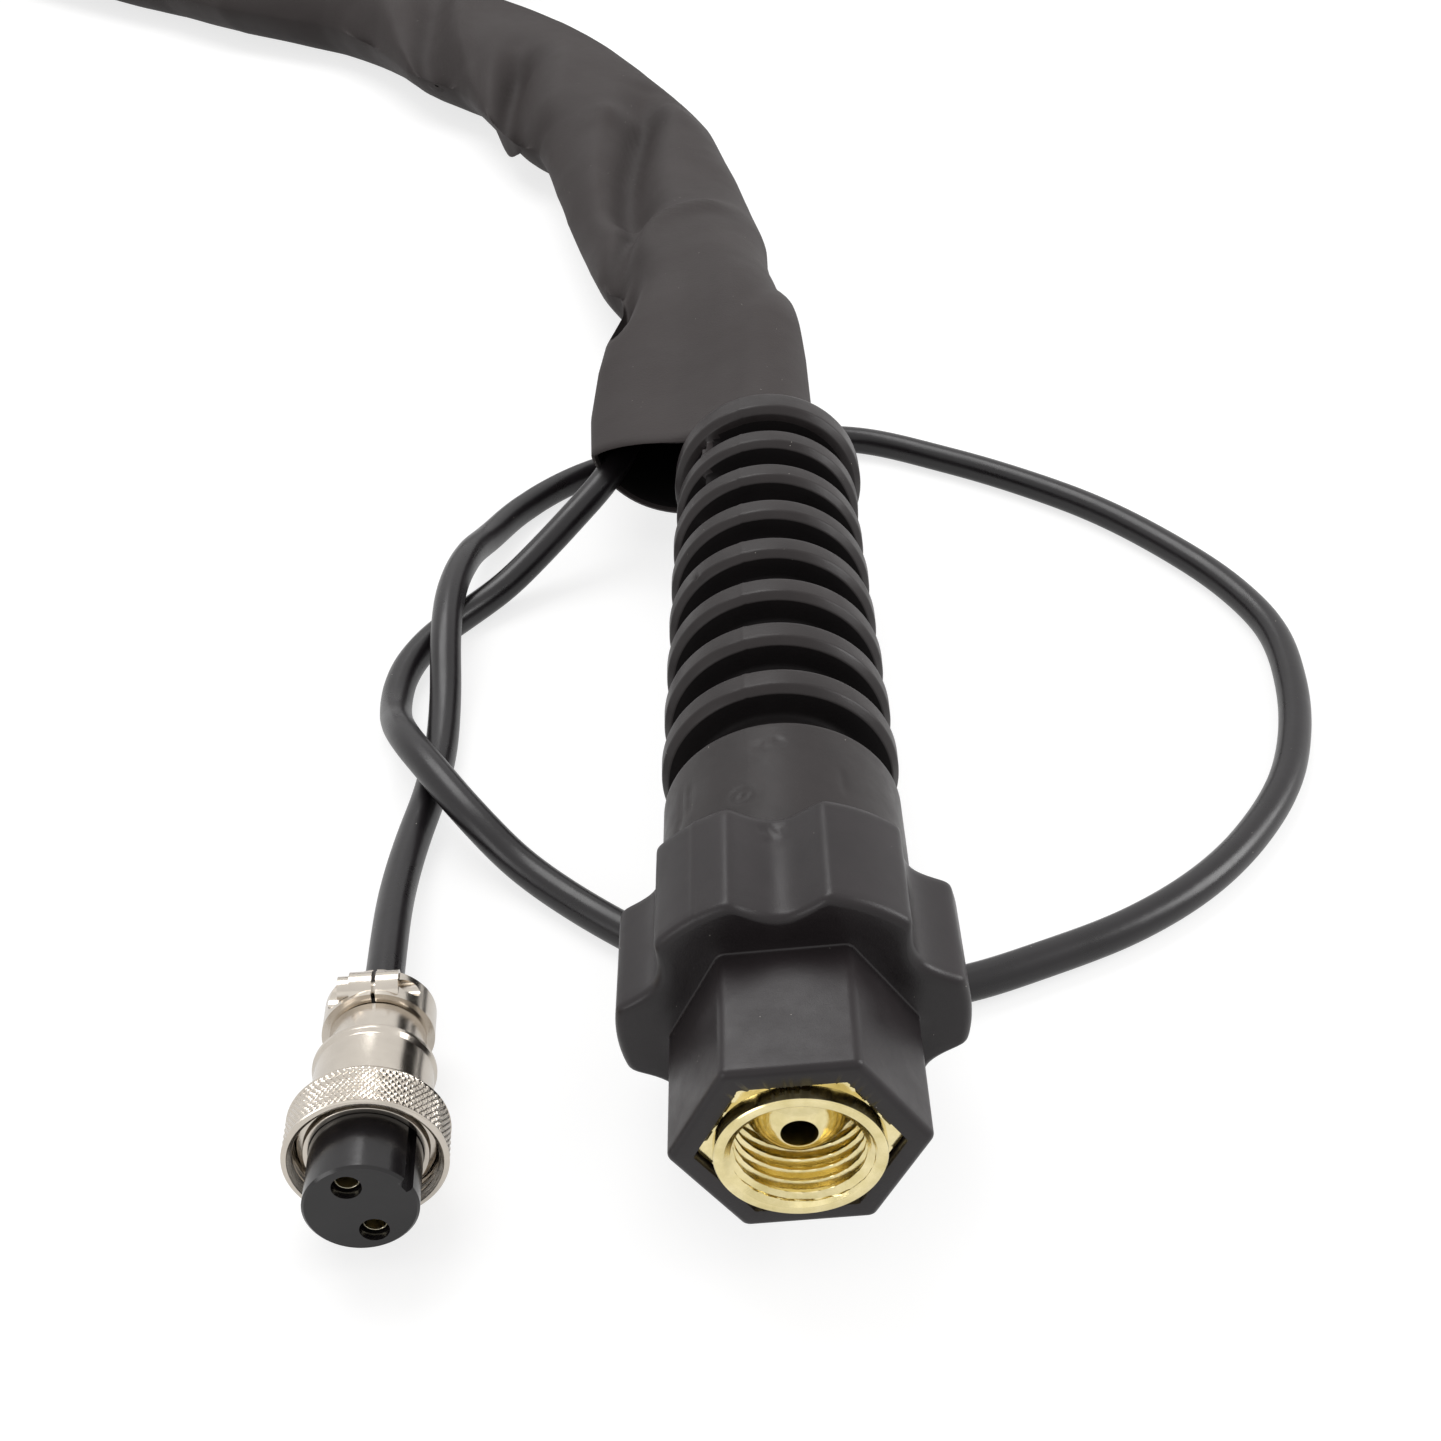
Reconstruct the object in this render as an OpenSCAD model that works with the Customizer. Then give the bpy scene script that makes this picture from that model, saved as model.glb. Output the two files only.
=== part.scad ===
// Gas-cooled TIG torch with its lead: a hand-tightened gas-through power connector, a two-pin
// control plug on its own thin cable, a leathercloth sleeve over the hose, and the torch itself.
// The connector's axis lies along Y. The origin is the mouth of the gas bore in the ball nose,
// +Y runs back along the connector, +X is to the right seen from its mouth, and +Z is up.

/* [Coupling nut] */
// Major diameter of the nut's thread
thread_d = 16; // [14:0.5:18]
// Pitch of the nut's thread
thread_pitch = 1.5; // [1:0.25:2]
// Outside diameter of the turned rim at the nut's mouth
rim_d = 18.8; // [18.2:0.1:19]
// How far the rim's mouth stands in front of the nose
mouth_ahead = 3.4; // [2.5:0.1:5]
// Width of the nut's hexagon across flats
nut_af = 19.5; // [19.2:0.1:20.6]
// Length of the nut from its mouth to its back face
nut_l = 19.9; // [18:0.1:22]
// Thickness of the inward lip that pulls the stem
nut_lip_l = 2.5; // [1.5:0.1:3.5]
// Distance that the nut slides forward along the stem
nut_travel = 3; // [1:0.25:4]

/* [Grip] */
// Width of the moulded hexagon across flats
hex_af = 25.2; // [24.6:0.1:28]
// Length of the moulded hexagon in front of the grip
hex_l = 17; // [14:0.5:20]
// Distance from the nut's mouth back to the moulding's front face
rim_proud = 1.9; // [1:0.1:3]
// Diameter over the grip's lobes
grip_d = 40; // [36:0.5:46]
// Length of the lobed grip
grip_l = 16.9; // [14:0.1:22]
// Depth of the finger scallops between the lobes
scallop_depth = 2.7; // [1:0.1:3.5]
// Number of lobes
lobes = 6; // [4:1:8]
// Turn of the nut and grip about the connector's axis at rest
grip_turn = 6.3; // [0:0.1:30]

/* [Stem] */
// Diameter of the ball nose
ball_d = 13; // [11:0.1:13.2]
// Diameter of the gas bore
gas_bore_d = 4; // [3:0.1:5]
// Diameter of the stem behind its shoulder
shank_d = 11.4; // [10.5:0.1:12]
// Length of the crimp barrel for the copper
barrel_l = 12; // [8:1:20]

/* [Power hose] */
// Outside diameter of the hose
hose_d = 15; // [13:0.5:17]
// Bore of the hose
hose_bore_d = 9.8; // [9:0.1:11]
// Diameter of the bunched copper inside the hose
copper_d = 6; // [4:0.5:7]
// Length of the crimped ferrule
ferrule_l = 25; // [18:1:32]
// Wall of the ferrule
ferrule_wall = 1; // [0.8:0.1:1.4]

/* [Bend boot] */
// Diameter of the boot's smooth front body
boot_d = 30.6; // [29:0.1:33]
// Length of the boot's smooth body that shows behind the grip
boot_smooth_l = 21.4; // [12:0.1:30]
// Number of ribs
ribs = 7; // [4:1:9]
// Distance from rib to rib
rib_pitch = 11.15; // [9:0.05:13]
// Thickness of a rib
rib_t = 5.2; // [4:0.1:6.5]
// Depth of the grooves between ribs
groove_depth = 3.6; // [2:0.1:4.5]
// How much smaller the last rib is than the smooth body, on diameter
rib_taper = 2.2; // [0:0.1:4]
// Length of the thick bead behind the last rib
bead_l = 7.5; // [5:0.5:12]

/* [Sleeve] */
// Width of the flattened sleeve
sleeve_w = 38; // [34:0.5:44]
// Height of the flattened sleeve
sleeve_h = 24; // [23:0.5:26]
// Wall of the leathercloth
sleeve_wall = 1.2; // [0.8:0.1:2]
// Depth that the sleeve's mouth is open
mouth_depth = 44; // [30:1:48]

/* [Coil of sleeved lead] */
// Turns in the coil, half of them in each of its two layers
coil_turns = 3; // [2:1:4]
// Radius of the outermost turn, at the middle of the sleeve
coil_r = 205; // [190:1:230]
// Radial step from turn to turn
coil_step = 41; // [40:0.5:46]
// Height from one layer to the next
layer_step = 25; // [24.6:0.1:28]

/* [Control cable and plug] */
// Diameter of the control cable
cable_d = 5; // [4:0.1:5.2]
// Diameter of the plug's knurled coupling ring
ring_d = 19; // [18.6:0.1:20]
// Length of the coupling ring
ring_l = 6.6; // [6:0.1:9]
// Diameter of the plug's insert
insert_d = 13; // [12.4:0.1:13.2]
// How far the insert stands out of the ring
insert_proud = 7; // [4:0.1:8]
// Diameter of the plug's shell behind the ring
shell_d = 14.8; // [14.6:0.1:15.2]
// Length of the shell behind the ring
shell_l = 8.8; // [7:0.1:12]
// Length of the back shell's body
back_shell_l = 5.4; // [4:0.1:8]
// Diameter of a contact's hole in the insert
socket_d = 3.4; // [2.6:0.1:3.6]
// Distance between the two contacts
socket_pitch = 7.2; // [6:0.1:7.6]
// Distance that the coupling ring slides forward
ring_travel = 0.8; // [0.4:0.1:0.9]

/* [Torch handle] */
// Length of the handle
handle_l = 116; // [90:1:140]
// Largest diameter of the handle
handle_d = 30; // [28:0.5:36]
// Diameter of the handle's waist
waist_d = 26; // [25:0.5:30]
// Wall of the handle
handle_wall = 2.6; // [2:0.1:3]
// Travel of the trigger button
trigger_travel = 1.5; // [0.8:0.1:2]

/* [Torch head] */
// Angle from the handle's axis to the electrode's axis
head_angle = 70; // [60:1:90]
// Outside diameter of the moulded head
head_d = 25; // [24:0.5:30]
// Diameter of the neck between head and handle
neck_d = 17; // [14:0.5:19]
// Length of the gas cup
cup_l = 47; // [40:1:56]
// Bore of the gas cup's mouth
cup_mouth_d = 11.2; // [9.6:0.1:12.6]
// Diameter of the tungsten electrode
electrode_d = 2.4; // [1.6:0.1:3.2]
// How far the electrode stands out of the cup
stick_out = 5; // [2:0.5:8]
// Length of the back cap behind the head
cap_l = 62; // [50:1:90]
// Distance that the back cap unscrews before its thread lets go
cap_travel = 8; // [4:0.5:9]

/* [Hidden] */

// Clearances
run_fit = 0.05;      // a turned piece that turns or slides in another
free_fit = 0.3;      // moulded pieces that pass each other
seat_gap = 0.1;      // faces that seat on each other

// Connector, along Y
fine = 96;
thread_minor_d = thread_d - 1.0825 * thread_pitch;
mouth_y = -mouth_ahead;
hex_front_y = mouth_y + rim_proud;
nut_back_y = mouth_y + nut_l;
lip_y = nut_back_y - nut_lip_l;
slip_ring_t = 0.8;
ball_r = ball_d / 2;
ball_y = sqrt(pow(ball_r, 2) - pow(gas_bore_d / 2, 2));
shoulder_y = lip_y - slip_ring_t - nut_travel - 2 * seat_gap;
shoulder_d = thread_minor_d - 2 * free_fit;
ferrule_y = nut_back_y + 2 * seat_gap;
ferrule_lip_l = 1.4;
ferrule_d = hose_d + 2 * (run_fit + ferrule_wall);
hose_y = ferrule_y + ferrule_lip_l + seat_gap;
barb_d = hose_bore_d - 2 * run_fit;
barbs = 4;
barb_l = 4;
barb_drop = 0.6;
barbs_end_y = hose_y + 1 + barbs * barb_l;
barrel_d = barb_d - 1.4;
port_d = 2.4;
port_y = barbs_end_y + 2.2;
barrel_y = port_y + 3;
stem_end_y = barrel_y + barrel_l;
grip_y = hex_front_y + hex_l;
grip_end_y = grip_y + grip_l;
web_l = 2.2;
boot_y = nut_back_y + web_l + 1;
boot_smooth_end = grip_end_y + boot_smooth_l;
boot_end_y = boot_smooth_end + (ribs + 0.45) * rib_pitch + bead_l;
boot_bore_d = hose_d + 2 * free_fit;
floor_z = -20.6;     // height of the surface that the connector, cables and coil lie on

// Sleeve route: the middle of the sleeve, from its mouth to the coil
sleeve_lie = floor_z + sleeve_h / 2;
mouth_lie = -1;
mouth_slant = 0.7;   // how far the mouth's upper lip reaches ahead of its lower one, by height
SLEEVE_ROUTE = [[-10.5, 154, mouth_lie], [-10.5, 176, mouth_lie], [-10.5, 198, mouth_lie],
    [-11.5, 218, mouth_lie - 3], [-14, 238, sleeve_lie + 2], [-17, 262, sleeve_lie],
    [-22, 290, sleeve_lie], [-32, 328, sleeve_lie], [-48, 363, sleeve_lie],
    [-68, 392, sleeve_lie], [-95, 421, sleeve_lie], [-127, 447, sleeve_lie],
    [-165, 473, sleeve_lie], [-205, 500, sleeve_lie], [-244, 529, sleeve_lie]];
MOUTH_SQUARE = [1, 1, 1, 0.7, 0.3];      // how far the first rings are a stadium round the hose
mouth_y0 = SLEEVE_ROUTE[0][1];
pocket_y = mouth_y0 + mouth_depth;
COIL_CENTRE = [-135, 705];
coil_start = 225;
rings_a_turn = 24;
coil_rings = coil_turns * rings_a_turn;
TAIL_ROUTE = [[-303, 585, 19], [-319, 612, 25], [-330, 642, 32], [-335, 674, 38]];
// Control cable route, from the plug's grommet to the inside of the sleeve's mouth
low = floor_z + cable_d / 2 + 0.01;
high = low + cable_d + 0.4;
CABLE_ROUTE = [[-52.4, 52, -15.6], [-52.5, 62, -17], [-52, 71, low + 0.2], [-51, 80, low], [-50.6, 91, low],
    [-51.2, 103, low + 1.2], [-52.2, 115, high - 1], [-52.4, 127, high],
    [-51, 139, high - 1], [-48.5, 150, low + 1.4], [-43, 163, low], [-32, 175, low],
    [-18, 182, low], [0, 187, low], [19, 188, low], [36, 180, low], [50, 171, low],
    [62, 161, low], [72, 149, low], [80, 136, low], [84.5, 122, low], [84, 107, low],
    [81, 93, low], [76, 80.5, low], [68, 68.5, low], [59, 59, low], [48, 51, low],
    [36, 45, low], [22, 39.5, low], [7, 38, low], [-8, 42, low], [-22, 51, low],
    [-35, 62, low + 0.6], [-43.5, 70, high - 1.4], [-50.5, 79.5, high],
    [-55.5, 88.5, high - 1.2], [-58.6, 99, low + 0.6], [-58.8, 110, low],
    [-55.5, 120, low], [-50, 128, low + 0.1], [-44.5, 134, low + 1.3], [-39, 140, -14],
    [-33, 146, -10], [-27.4, 153, -6.5], [-23.9, 163, -4.5], [-22.2, 176, -3.5]];

// Plug, on its own axis: +Y runs from its mouth back to its cable
PLUG_AT = [-49.1, 8.6, floor_z + ring_d / 2 + 0.05];
plug_yaw = 4.5;
plug_tilt = -5;
ring_half = ring_l / 2;
ring_back_l = 1.6;
ring_thread_d = 16.6;
slip_t = 0.5;
insert_bore_d = insert_d + 2 * run_fit;
shell_front_d = insert_d + 1.4;
shell_flange_d = ring_thread_d - 2 * free_fit;
shell_flange_l = 1.2;
slip_y = ring_half - ring_back_l - seat_gap - slip_t;
shell_flange_y = slip_y - seat_gap - ring_travel - shell_flange_l;
insert_seat_y = shell_flange_y + shell_flange_l + 3.8;
contact_sunk = 0.8;  // how far the contacts sit back from the insert's face
contact_wall = 0.45;
shell_end_y = ring_half + shell_l;
back_end_y = shell_end_y + seat_gap + back_shell_l;
spigot_in_l = 4.4;
spigot_in_d = shell_d - 2;
clamp_l = 5.8;
jaw_bore_d = cable_d + 1.4;
ear_r = 5.4;
screw_d = 2;
screw_head_d = 3.7;
screw_head_l = 1.4;
ear_half_l = 3;
boss_d = 4.6;
clamp_split = 0.5;
screw_y = back_end_y + seat_gap + clamp_l / 2 - 0.3;
grommet_end_y = back_end_y + seat_gap + clamp_l + 1.2;

// Torch, on its own axis: +X runs along the handle to the head, the electrode's axis lies flat
torch_mid = 62;      // the place along the handle that lies over the coil's middle turns
torch_turn = 55;
rest_r = coil_r - coil_step + 1;
TORCH_AT = [COIL_CENTRE[0] + rest_r * cos(145), COIL_CENTRE[1] + rest_r * sin(145),
    floor_z + layer_step + sleeve_h + handle_d / 2 + 0.9];
cuff_l = 34;
cuff_socket_l = 14;
neck_seat_l = 22;
head_x = handle_l + 26;
head_back_l = 15;
head_front_l = 16;
core_d = 15;
tube_x = 40;         // where the brass tube to the head starts, along the handle
tube_r = 5;
core_bore_d = 10.6;
core_mid_bore_d = 8;
gasket_l = 3.4;
collet_thread_d = core_bore_d - 2 * run_fit;
cup_thread_d = 12.6;
cup_back_d = 18.6;
cup_front_wall = 1.6;
cup_skirt_l = 12;
cup_waist_l = 21;
cup_y = head_front_l + gasket_l + 2 * seat_gap;
collet_tip_y = cup_y + 26;
tip_y = cup_y + cup_l + stick_out;
cap_y = -head_back_l - 1.6;
cap_front_d = 18;
cap_end_d = 10;
cap_grip_l = 12;
cap_bore_d = 5.4;
spigot_l = 9;
electrode_end_y = cap_y - cap_l + 14;
button_w = 9;
button_l = 20;
switch_x = 72;

// ---------- shared shapes ----------

// A solid turned about the Y axis from [radius, y] points
module turned(profile) rotate([-90, 0, 0]) rotate_extrude($fn = fine) polygon(profile);

// A round hole or rod about the Y axis
module rod(d, y0, y1) translate([0, y0, 0]) rotate([-90, 0, 0]) cylinder(d = d, h = y1 - y0, $fn = fine);

// A plate with a flat outline, from y0 to y1
module plate(outline,
    y0, y1) translate([0, y1, 0]) rotate([90, 0, 0]) linear_extrude(y1 - y0) polygon(outline);

function arc_points(r, a0, a1, n) = [for (i = [0:n]) r * [cos(a0 + (a1 - a0) * i / n),
    sin(a0 + (a1 - a0) * i / n)]];

// Regular polygon with rounded corners: sides, width across flats, corner radius, turn
function round_gon(sides, af, r, turn) = [for (k = [0:sides - 1], i = [0:4])
    let (a = turn + 360 * k / sides, c = (af / 2 - r) / cos(180 / sides), b = a + (i - 2) * 90 / sides)
    [c * cos(a) + r * cos(b), c * sin(a) + r * sin(b)]];

// Hexagonal prism about the Y axis, with one corner of its outline at the angle turn from +X
module hex_prism(af, r, turn, y0, y1) plate(round_gon(6, af, r, turn), y0, y1);

// ---------- swept tubes ----------

function unit(v) = v / norm(v);
function heading(pts, i) = unit(pts[min(i + 1, len(pts) - 1)] - pts[max(i - 1, 0)]);

// One ring of a flattened tube: half width a, half height b, square to the level heading
function ring_at(p, t, a, b, sides) = let (side = unit([t[1], -t[0], 0]), up = cross(side, t))
    [for (k = [0:sides - 1]) let (w = 360 * (k + 0.5) / sides) p + side * a * cos(w) + up * b * sin(w)];

function rings_along(pts, a, b, sides) = [for (i = [0:len(pts) - 1]) ring_at(pts[i], heading(pts, i), a, b,
    sides)];

// Faces of a tube of rings in order, closed at both ends
function tube_faces(rings, n) = concat(
    [for (i = [1:n - 2]) [0, i + 1, i]],
    [for (j = [0:rings - 2], k = [0:n - 1]) let (m = (k + 1) % n) [j * n + k, j * n + m, (j + 1) * n + k]],
    [for (j = [0:rings - 2], k = [0:n - 1]) let (m = (k + 1) % n) [j * n + m, (j + 1) * n + m,
        (j + 1) * n + k]],
    [for (i = [1:n - 2]) [(rings - 1) * n, (rings - 1) * n + i, (rings - 1) * n + i + 1]]);

module tube(rings) polyhedron([for (r = rings) each r], tube_faces(len(rings), len(rings[0])));

function path_length(pts, i = 0) = i >= len(pts) - 1 ? 0 : norm(pts[i + 1] - pts[i]) + path_length(pts,
    i + 1);

// ---------- connector ----------

module coupling_nut() color("goldenrod") difference() {
    union() {
        turned([[0, mouth_y + 0.4], [rim_d / 2 - 0.5, mouth_y], [rim_d / 2, mouth_y + 0.5],
            [rim_d / 2, hex_front_y + 1.4], [0, hex_front_y + 1.4]]);
        intersection() {
            hex_prism(nut_af, 0.3, grip_turn, hex_front_y + 0.7, nut_back_y);
            turned([[0, hex_front_y + 0.7], [nut_af / 2 - 0.2, hex_front_y + 0.7],
                [nut_af / 2 + 1.6, hex_front_y + 1.8], [nut_af / 2 + 1.6, nut_back_y - 1],
                [nut_af / 2, nut_back_y], [0, nut_back_y]]);
        }
    }
    rod(thread_minor_d, mouth_y - 1, lip_y);
    turned([[0, mouth_y - 1], [thread_d / 2 + 1.3, mouth_y - 1], [thread_minor_d / 2, mouth_y + 1.1],
        [0, mouth_y + 1.1]]);
    turned([[0, lip_y - 2], [thread_d / 2 + 0.1, lip_y - 2], [thread_d / 2 + 0.1, lip_y], [0, lip_y]]);
    rod(shank_d + 2 * free_fit, lip_y - 1, nut_back_y + 1);
}

module nut_slip_ring() color("ivory") difference() {
    rod(thread_minor_d - 0.2, lip_y - slip_ring_t - seat_gap, lip_y - seat_gap);
    rod(shank_d + 2 * free_fit, lip_y - slip_ring_t - 1, lip_y);
}

function lobe_outline(r, dip, n, turn) = [for (k = [0:n * 20 - 1])
    let (a = k * 18 / n, s = (1 - cos(a * n)) / 2, f = pow(s, 1.6))
    (r - dip * f) * [cos(a + turn), sin(a + turn)]];

module grip_cover() color("dimgray") difference() {
    union() {
        intersection() {
            hex_prism(hex_af, 1.2, grip_turn, hex_front_y, grip_y + 1);
            turned([[0, hex_front_y], [hex_af / 2 - 0.2, hex_front_y],
                [hex_af / 2 + 2.1, hex_front_y + 1.3],
                [hex_af / 2 + 2.1, grip_y + 1], [0, grip_y + 1]]);
        }
        intersection() {
            plate(lobe_outline(grip_d / 2, scallop_depth, lobes, grip_turn), grip_y, grip_end_y);
            turned([[0, grip_y], [grip_d / 2 - 1.6, grip_y], [grip_d / 2 - 0.5, grip_y + 0.5],
                [grip_d / 2, grip_y + 1.8], [grip_d / 2, grip_end_y - 1], [grip_d / 2 - 0.8, grip_end_y],
                    [0, grip_end_y]]);
        }
    }
    hex_prism(nut_af + 0.3, 0.4, grip_turn, hex_front_y - 1, nut_back_y);
    rod(ferrule_d + 4 * free_fit, nut_back_y - 1, boot_y);
    rod(boot_d + 2 * free_fit, nut_back_y + web_l, grip_end_y + 1);
}

module connector_stem() color("gold") difference() {
    turned(concat([[0, 0]],
        [for (i = [0:10]) let (a = asin(gas_bore_d / ball_d) + (90 - asin(gas_bore_d / ball_d)) * i / 10)
            [ball_r * sin(a), ball_y - ball_r * cos(a)]],
        [[ball_r, shoulder_y - 2], [shoulder_d / 2, shoulder_y - 1.6], [shoulder_d / 2, shoulder_y],
            [shank_d / 2, shoulder_y], [shank_d / 2, hose_y], [barb_d / 2 - barb_drop, hose_y]],
        [for (k = [0:barbs - 1], p = [[barb_d / 2 - barb_drop, 1 + k * barb_l + 0.6], [barb_d / 2,
            1 + k * barb_l + 0.6],
            [barb_d / 2 - barb_drop, 1 + (k + 1) * barb_l]]) [p[0], hose_y + p[1]]],
        [[barrel_d / 2, barbs_end_y + 0.5], [barrel_d / 2, stem_end_y - 0.6],
            [barrel_d / 2 - 0.6, stem_end_y], [0, stem_end_y]]));
    rod(gas_bore_d, -1, port_y + port_d / 2 + 0.5);
    rod(copper_d + 0.1, barrel_y, stem_end_y + 1);
    translate([-barb_d, port_y, 0]) rotate([0, 90, 0]) cylinder(d = port_d, h = 2 * barb_d, $fn = 32);
}

module hose_ferrule() color("silver") {
    crimp = [for (k = [0:2]) ferrule_y + 6 + k * 6.5];
    r = ferrule_d / 2;
    inner = hose_d / 2 + run_fit;
    turned(concat([[shank_d / 2 + run_fit, ferrule_y], [r - 0.4, ferrule_y], [r, ferrule_y + 0.4]],
        [for (y = crimp, p = [[0, 0], [0.4, 0.7], [0.4, 2], [0, 2.7]]) [r - p[0], y + p[1]]],
        [[r, ferrule_y + ferrule_l - 0.4], [r - 0.4, ferrule_y + ferrule_l], [inner, ferrule_y + ferrule_l],
            [inner, ferrule_y + ferrule_lip_l], [shank_d / 2 + run_fit, ferrule_y + ferrule_lip_l]]));
}

module power_hose() color("#2a2a2c") difference() {
    rod(hose_d, hose_y, pocket_y);
    rod(hose_bore_d, hose_y - 1, pocket_y + 1);
}

module copper_conductor() color("#b87333") rod(copper_d, barrel_y + seat_gap, pocket_y);

// The boot: smooth body, then deep rounded ribs that shrink towards the back, then a thick bead.
// Three grooves stop short at a web along the upper left, where the mould's blades meet.
module bend_boot() color("dimgray") {
    r = boot_d / 2;
    rear_r = r - rib_taper / 2;
    gap = rib_pitch - rib_t;
    bead_y = boot_end_y - bead_l;
    difference() {
        turned(concat([[boot_bore_d / 2, boot_y], [r - 1, boot_y], [r, boot_y + 1],
            [r, boot_smooth_end - 1.2],
                [r - 0.35, boot_smooth_end - 0.35], [r - 1.2, boot_smooth_end]],
            [for (k = [1:ribs], p = [[-groove_depth, -rib_pitch + 1], [-groove_depth, -rib_t - 0.6],
                [-1.3, -rib_t],
                [-0.25, -rib_t + 0.9], [0, -rib_t / 2], [-0.3, -0.9], [-1.3, 0]])
                [r - rib_taper / 2 * k / ribs + p[0], boot_smooth_end + k * rib_pitch + p[1]]],
            [[rear_r - groove_depth, boot_smooth_end + ribs * rib_pitch + 1],
                [rear_r - groove_depth, bead_y - 0.6], [rear_r - 0.9, bead_y], [rear_r + 0.1, bead_y + 1.2],
                [rear_r + 0.1, boot_end_y - 2.2], [rear_r - 1, boot_end_y - 0.5],
                    [rear_r - 2.6, boot_end_y], [boot_bore_d / 2, boot_end_y]]));
        rod(ferrule_d + 2 * run_fit, boot_y - 1, ferrule_y + ferrule_l + seat_gap);
    }
    for (k = [0:2]) let (y = boot_smooth_end + (ribs - k) * rib_pitch)
        intersection() {
            difference() {
                rod(boot_d - rib_taper - 0.6 * k, y - 1.5, y + gap + 1.5);
                rod(boot_d - rib_taper - groove_depth * 2 - 1, y - 2, y + gap + 2);
            }
            rotate([0, -140, 0]) translate([0, y - 2, -1.6]) cube([boot_d, gap + 4, 3.2]);
        }
}

// ---------- sleeve ----------

sleeve_sides = 12;
function sleeve_ring(p, t, n) = ring_at(p, t, sleeve_w / 2, sleeve_h / 2, n);

// A ring near the mouth: q mixes the flat section with a stadium that is a little wider and lower,
// and slant moves its top forward and its bottom back
function mouth_ring(p, t, q, inset = 0, slant = 0) =
    let (a = sleeve_w / 2 + 1.1 * q - inset, b = sleeve_h / 2 - 1.1 * q - inset,
        side = unit([t[1], -t[0], 0]), up = cross(side, t))
    [for (k = [0:sleeve_sides - 1]) let (w = 360 * (k + 0.5) / sleeve_sides, c = cos(w), s = b * sin(w))
        p + side * ((1 - q) * a * c + q * (sign(c) * (a - b) + b * c)) + up * s - [0, slant * s, 0]];

// The coil: r turns inwards at a steady rate to its middle and out again one layer higher,
// and climbs in the half turn where it reverses. Place u runs from 0 to 1 along it.
coil_deg = 360 * coil_turns;
function coil_rise(deg) = let (w = min(1,
    max(0, (deg - coil_deg / 2 + 90) / 180))) layer_step * w * w * (3 - 2 * w);
function coil_point(u) = let (deg = u * coil_deg, back = abs(deg - coil_deg / 2), a = coil_start - deg,
    r = coil_r - coil_step * (coil_deg / 2 - back) / 360)
    [COIL_CENTRE[0] + r * cos(a), COIL_CENTRE[1] + r * sin(a), sleeve_lie + coil_rise(deg)];
function coil_heading(u) = unit(coil_point(min(1, u + 0.002)) - coil_point(max(0, u - 0.002)));
COIL_ROUTE = [for (i = [0:coil_rings]) coil_point(i / coil_rings)];

// Least gap between turns at least half a turn apart, with each flat section's reach towards the other
function reach(d) = norm([sleeve_w / 2 * norm([d[0], d[1]]), sleeve_h / 2 * d[2]]) / norm(d);
coil_gap = min([for (i = [0:coil_rings - rings_a_turn / 2], j = [i + rings_a_turn / 2:coil_rings])
    let (d = COIL_ROUTE[j] - COIL_ROUTE[i]) norm(d) - 2 * reach(d)]);

// The open end of the sleeve is one closed sweep, in along its lining and back along its skin
module cable_sleeve() color("#4c4846") {
    pts = concat(SLEEVE_ROUTE, [coil_point(0)]);
    last = len(pts) - 1;
    squares = len(MOUTH_SQUARE) - 1;
    tube(concat([for (y = [mouth_depth, mouth_depth / 2, 0])
            mouth_ring(pts[0] + [0, y, 0], [0, 1, 0], 1, sleeve_wall, y == 0 ? mouth_slant : 0)],
        [for (i = [0:squares]) mouth_ring(pts[i], i == 0 ? [0, 1, 0] : heading(pts, i), MOUTH_SQUARE[i], 0,
            i == 0 ? mouth_slant : 0)],
        [for (i = [squares + 1:last]) sleeve_ring(pts[i], i == last ? coil_heading(0) : heading(pts, i),
            sleeve_sides)]));
}

module cable_sleeve_coil() color("#4c4846") {
    echo(least_gap_between_turns = coil_gap, coil_length = path_length(COIL_ROUTE));
    tube([for (i = [0:coil_rings]) sleeve_ring(COIL_ROUTE[i], coil_heading(i / coil_rings), 6)]);
}

module cable_sleeve_tail() color("#4c4846") {
    pts = concat([coil_point(1)], TAIL_ROUTE, [on_torch([-cuff_l - 0.2, 0, 0])]);
    last = len(pts) - 1;
    echo(sleeve_length = path_length(concat(SLEEVE_ROUTE,
        [coil_point(0)])) + path_length(COIL_ROUTE) + path_length(pts));
    tube([for (i = [0:last]) sleeve_ring(pts[i], i == 0 ? coil_heading(1)
        : i == last ? [cos(torch_turn), sin(torch_turn), 0] : heading(pts, i), sleeve_sides)]);
}

// ---------- control cable and plug ----------

function spin_z(p, a) = [p[0] * cos(a) - p[1] * sin(a), p[0] * sin(a) + p[1] * cos(a), p[2]];
function tilt_x(p, a) = [p[0], p[1] * cos(a) - p[2] * sin(a), p[1] * sin(a) + p[2] * cos(a)];
function on_plug(p) = PLUG_AT + spin_z(tilt_x(p, plug_tilt), plug_yaw);
module at_plug() translate(PLUG_AT) rotate([0, 0, plug_yaw]) rotate([plug_tilt, 0, 0]) children();

module control_cable() color("#262528") {
    pocket_end = [-22, pocket_y, -3.5];
    pts = concat([on_plug([0, grommet_end_y, 0]), on_plug([0, grommet_end_y + 5, 0])], CABLE_ROUTE,
        [pocket_end]);
    last = len(pts) - 1;
    echo(control_cable_length = path_length(pts));
    tube([for (i = [0:last]) ring_at(pts[i], i == last ? [0, 1, 0] : heading(pts, i), cable_d / 2,
        cable_d / 2, 8)]);
}

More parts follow.
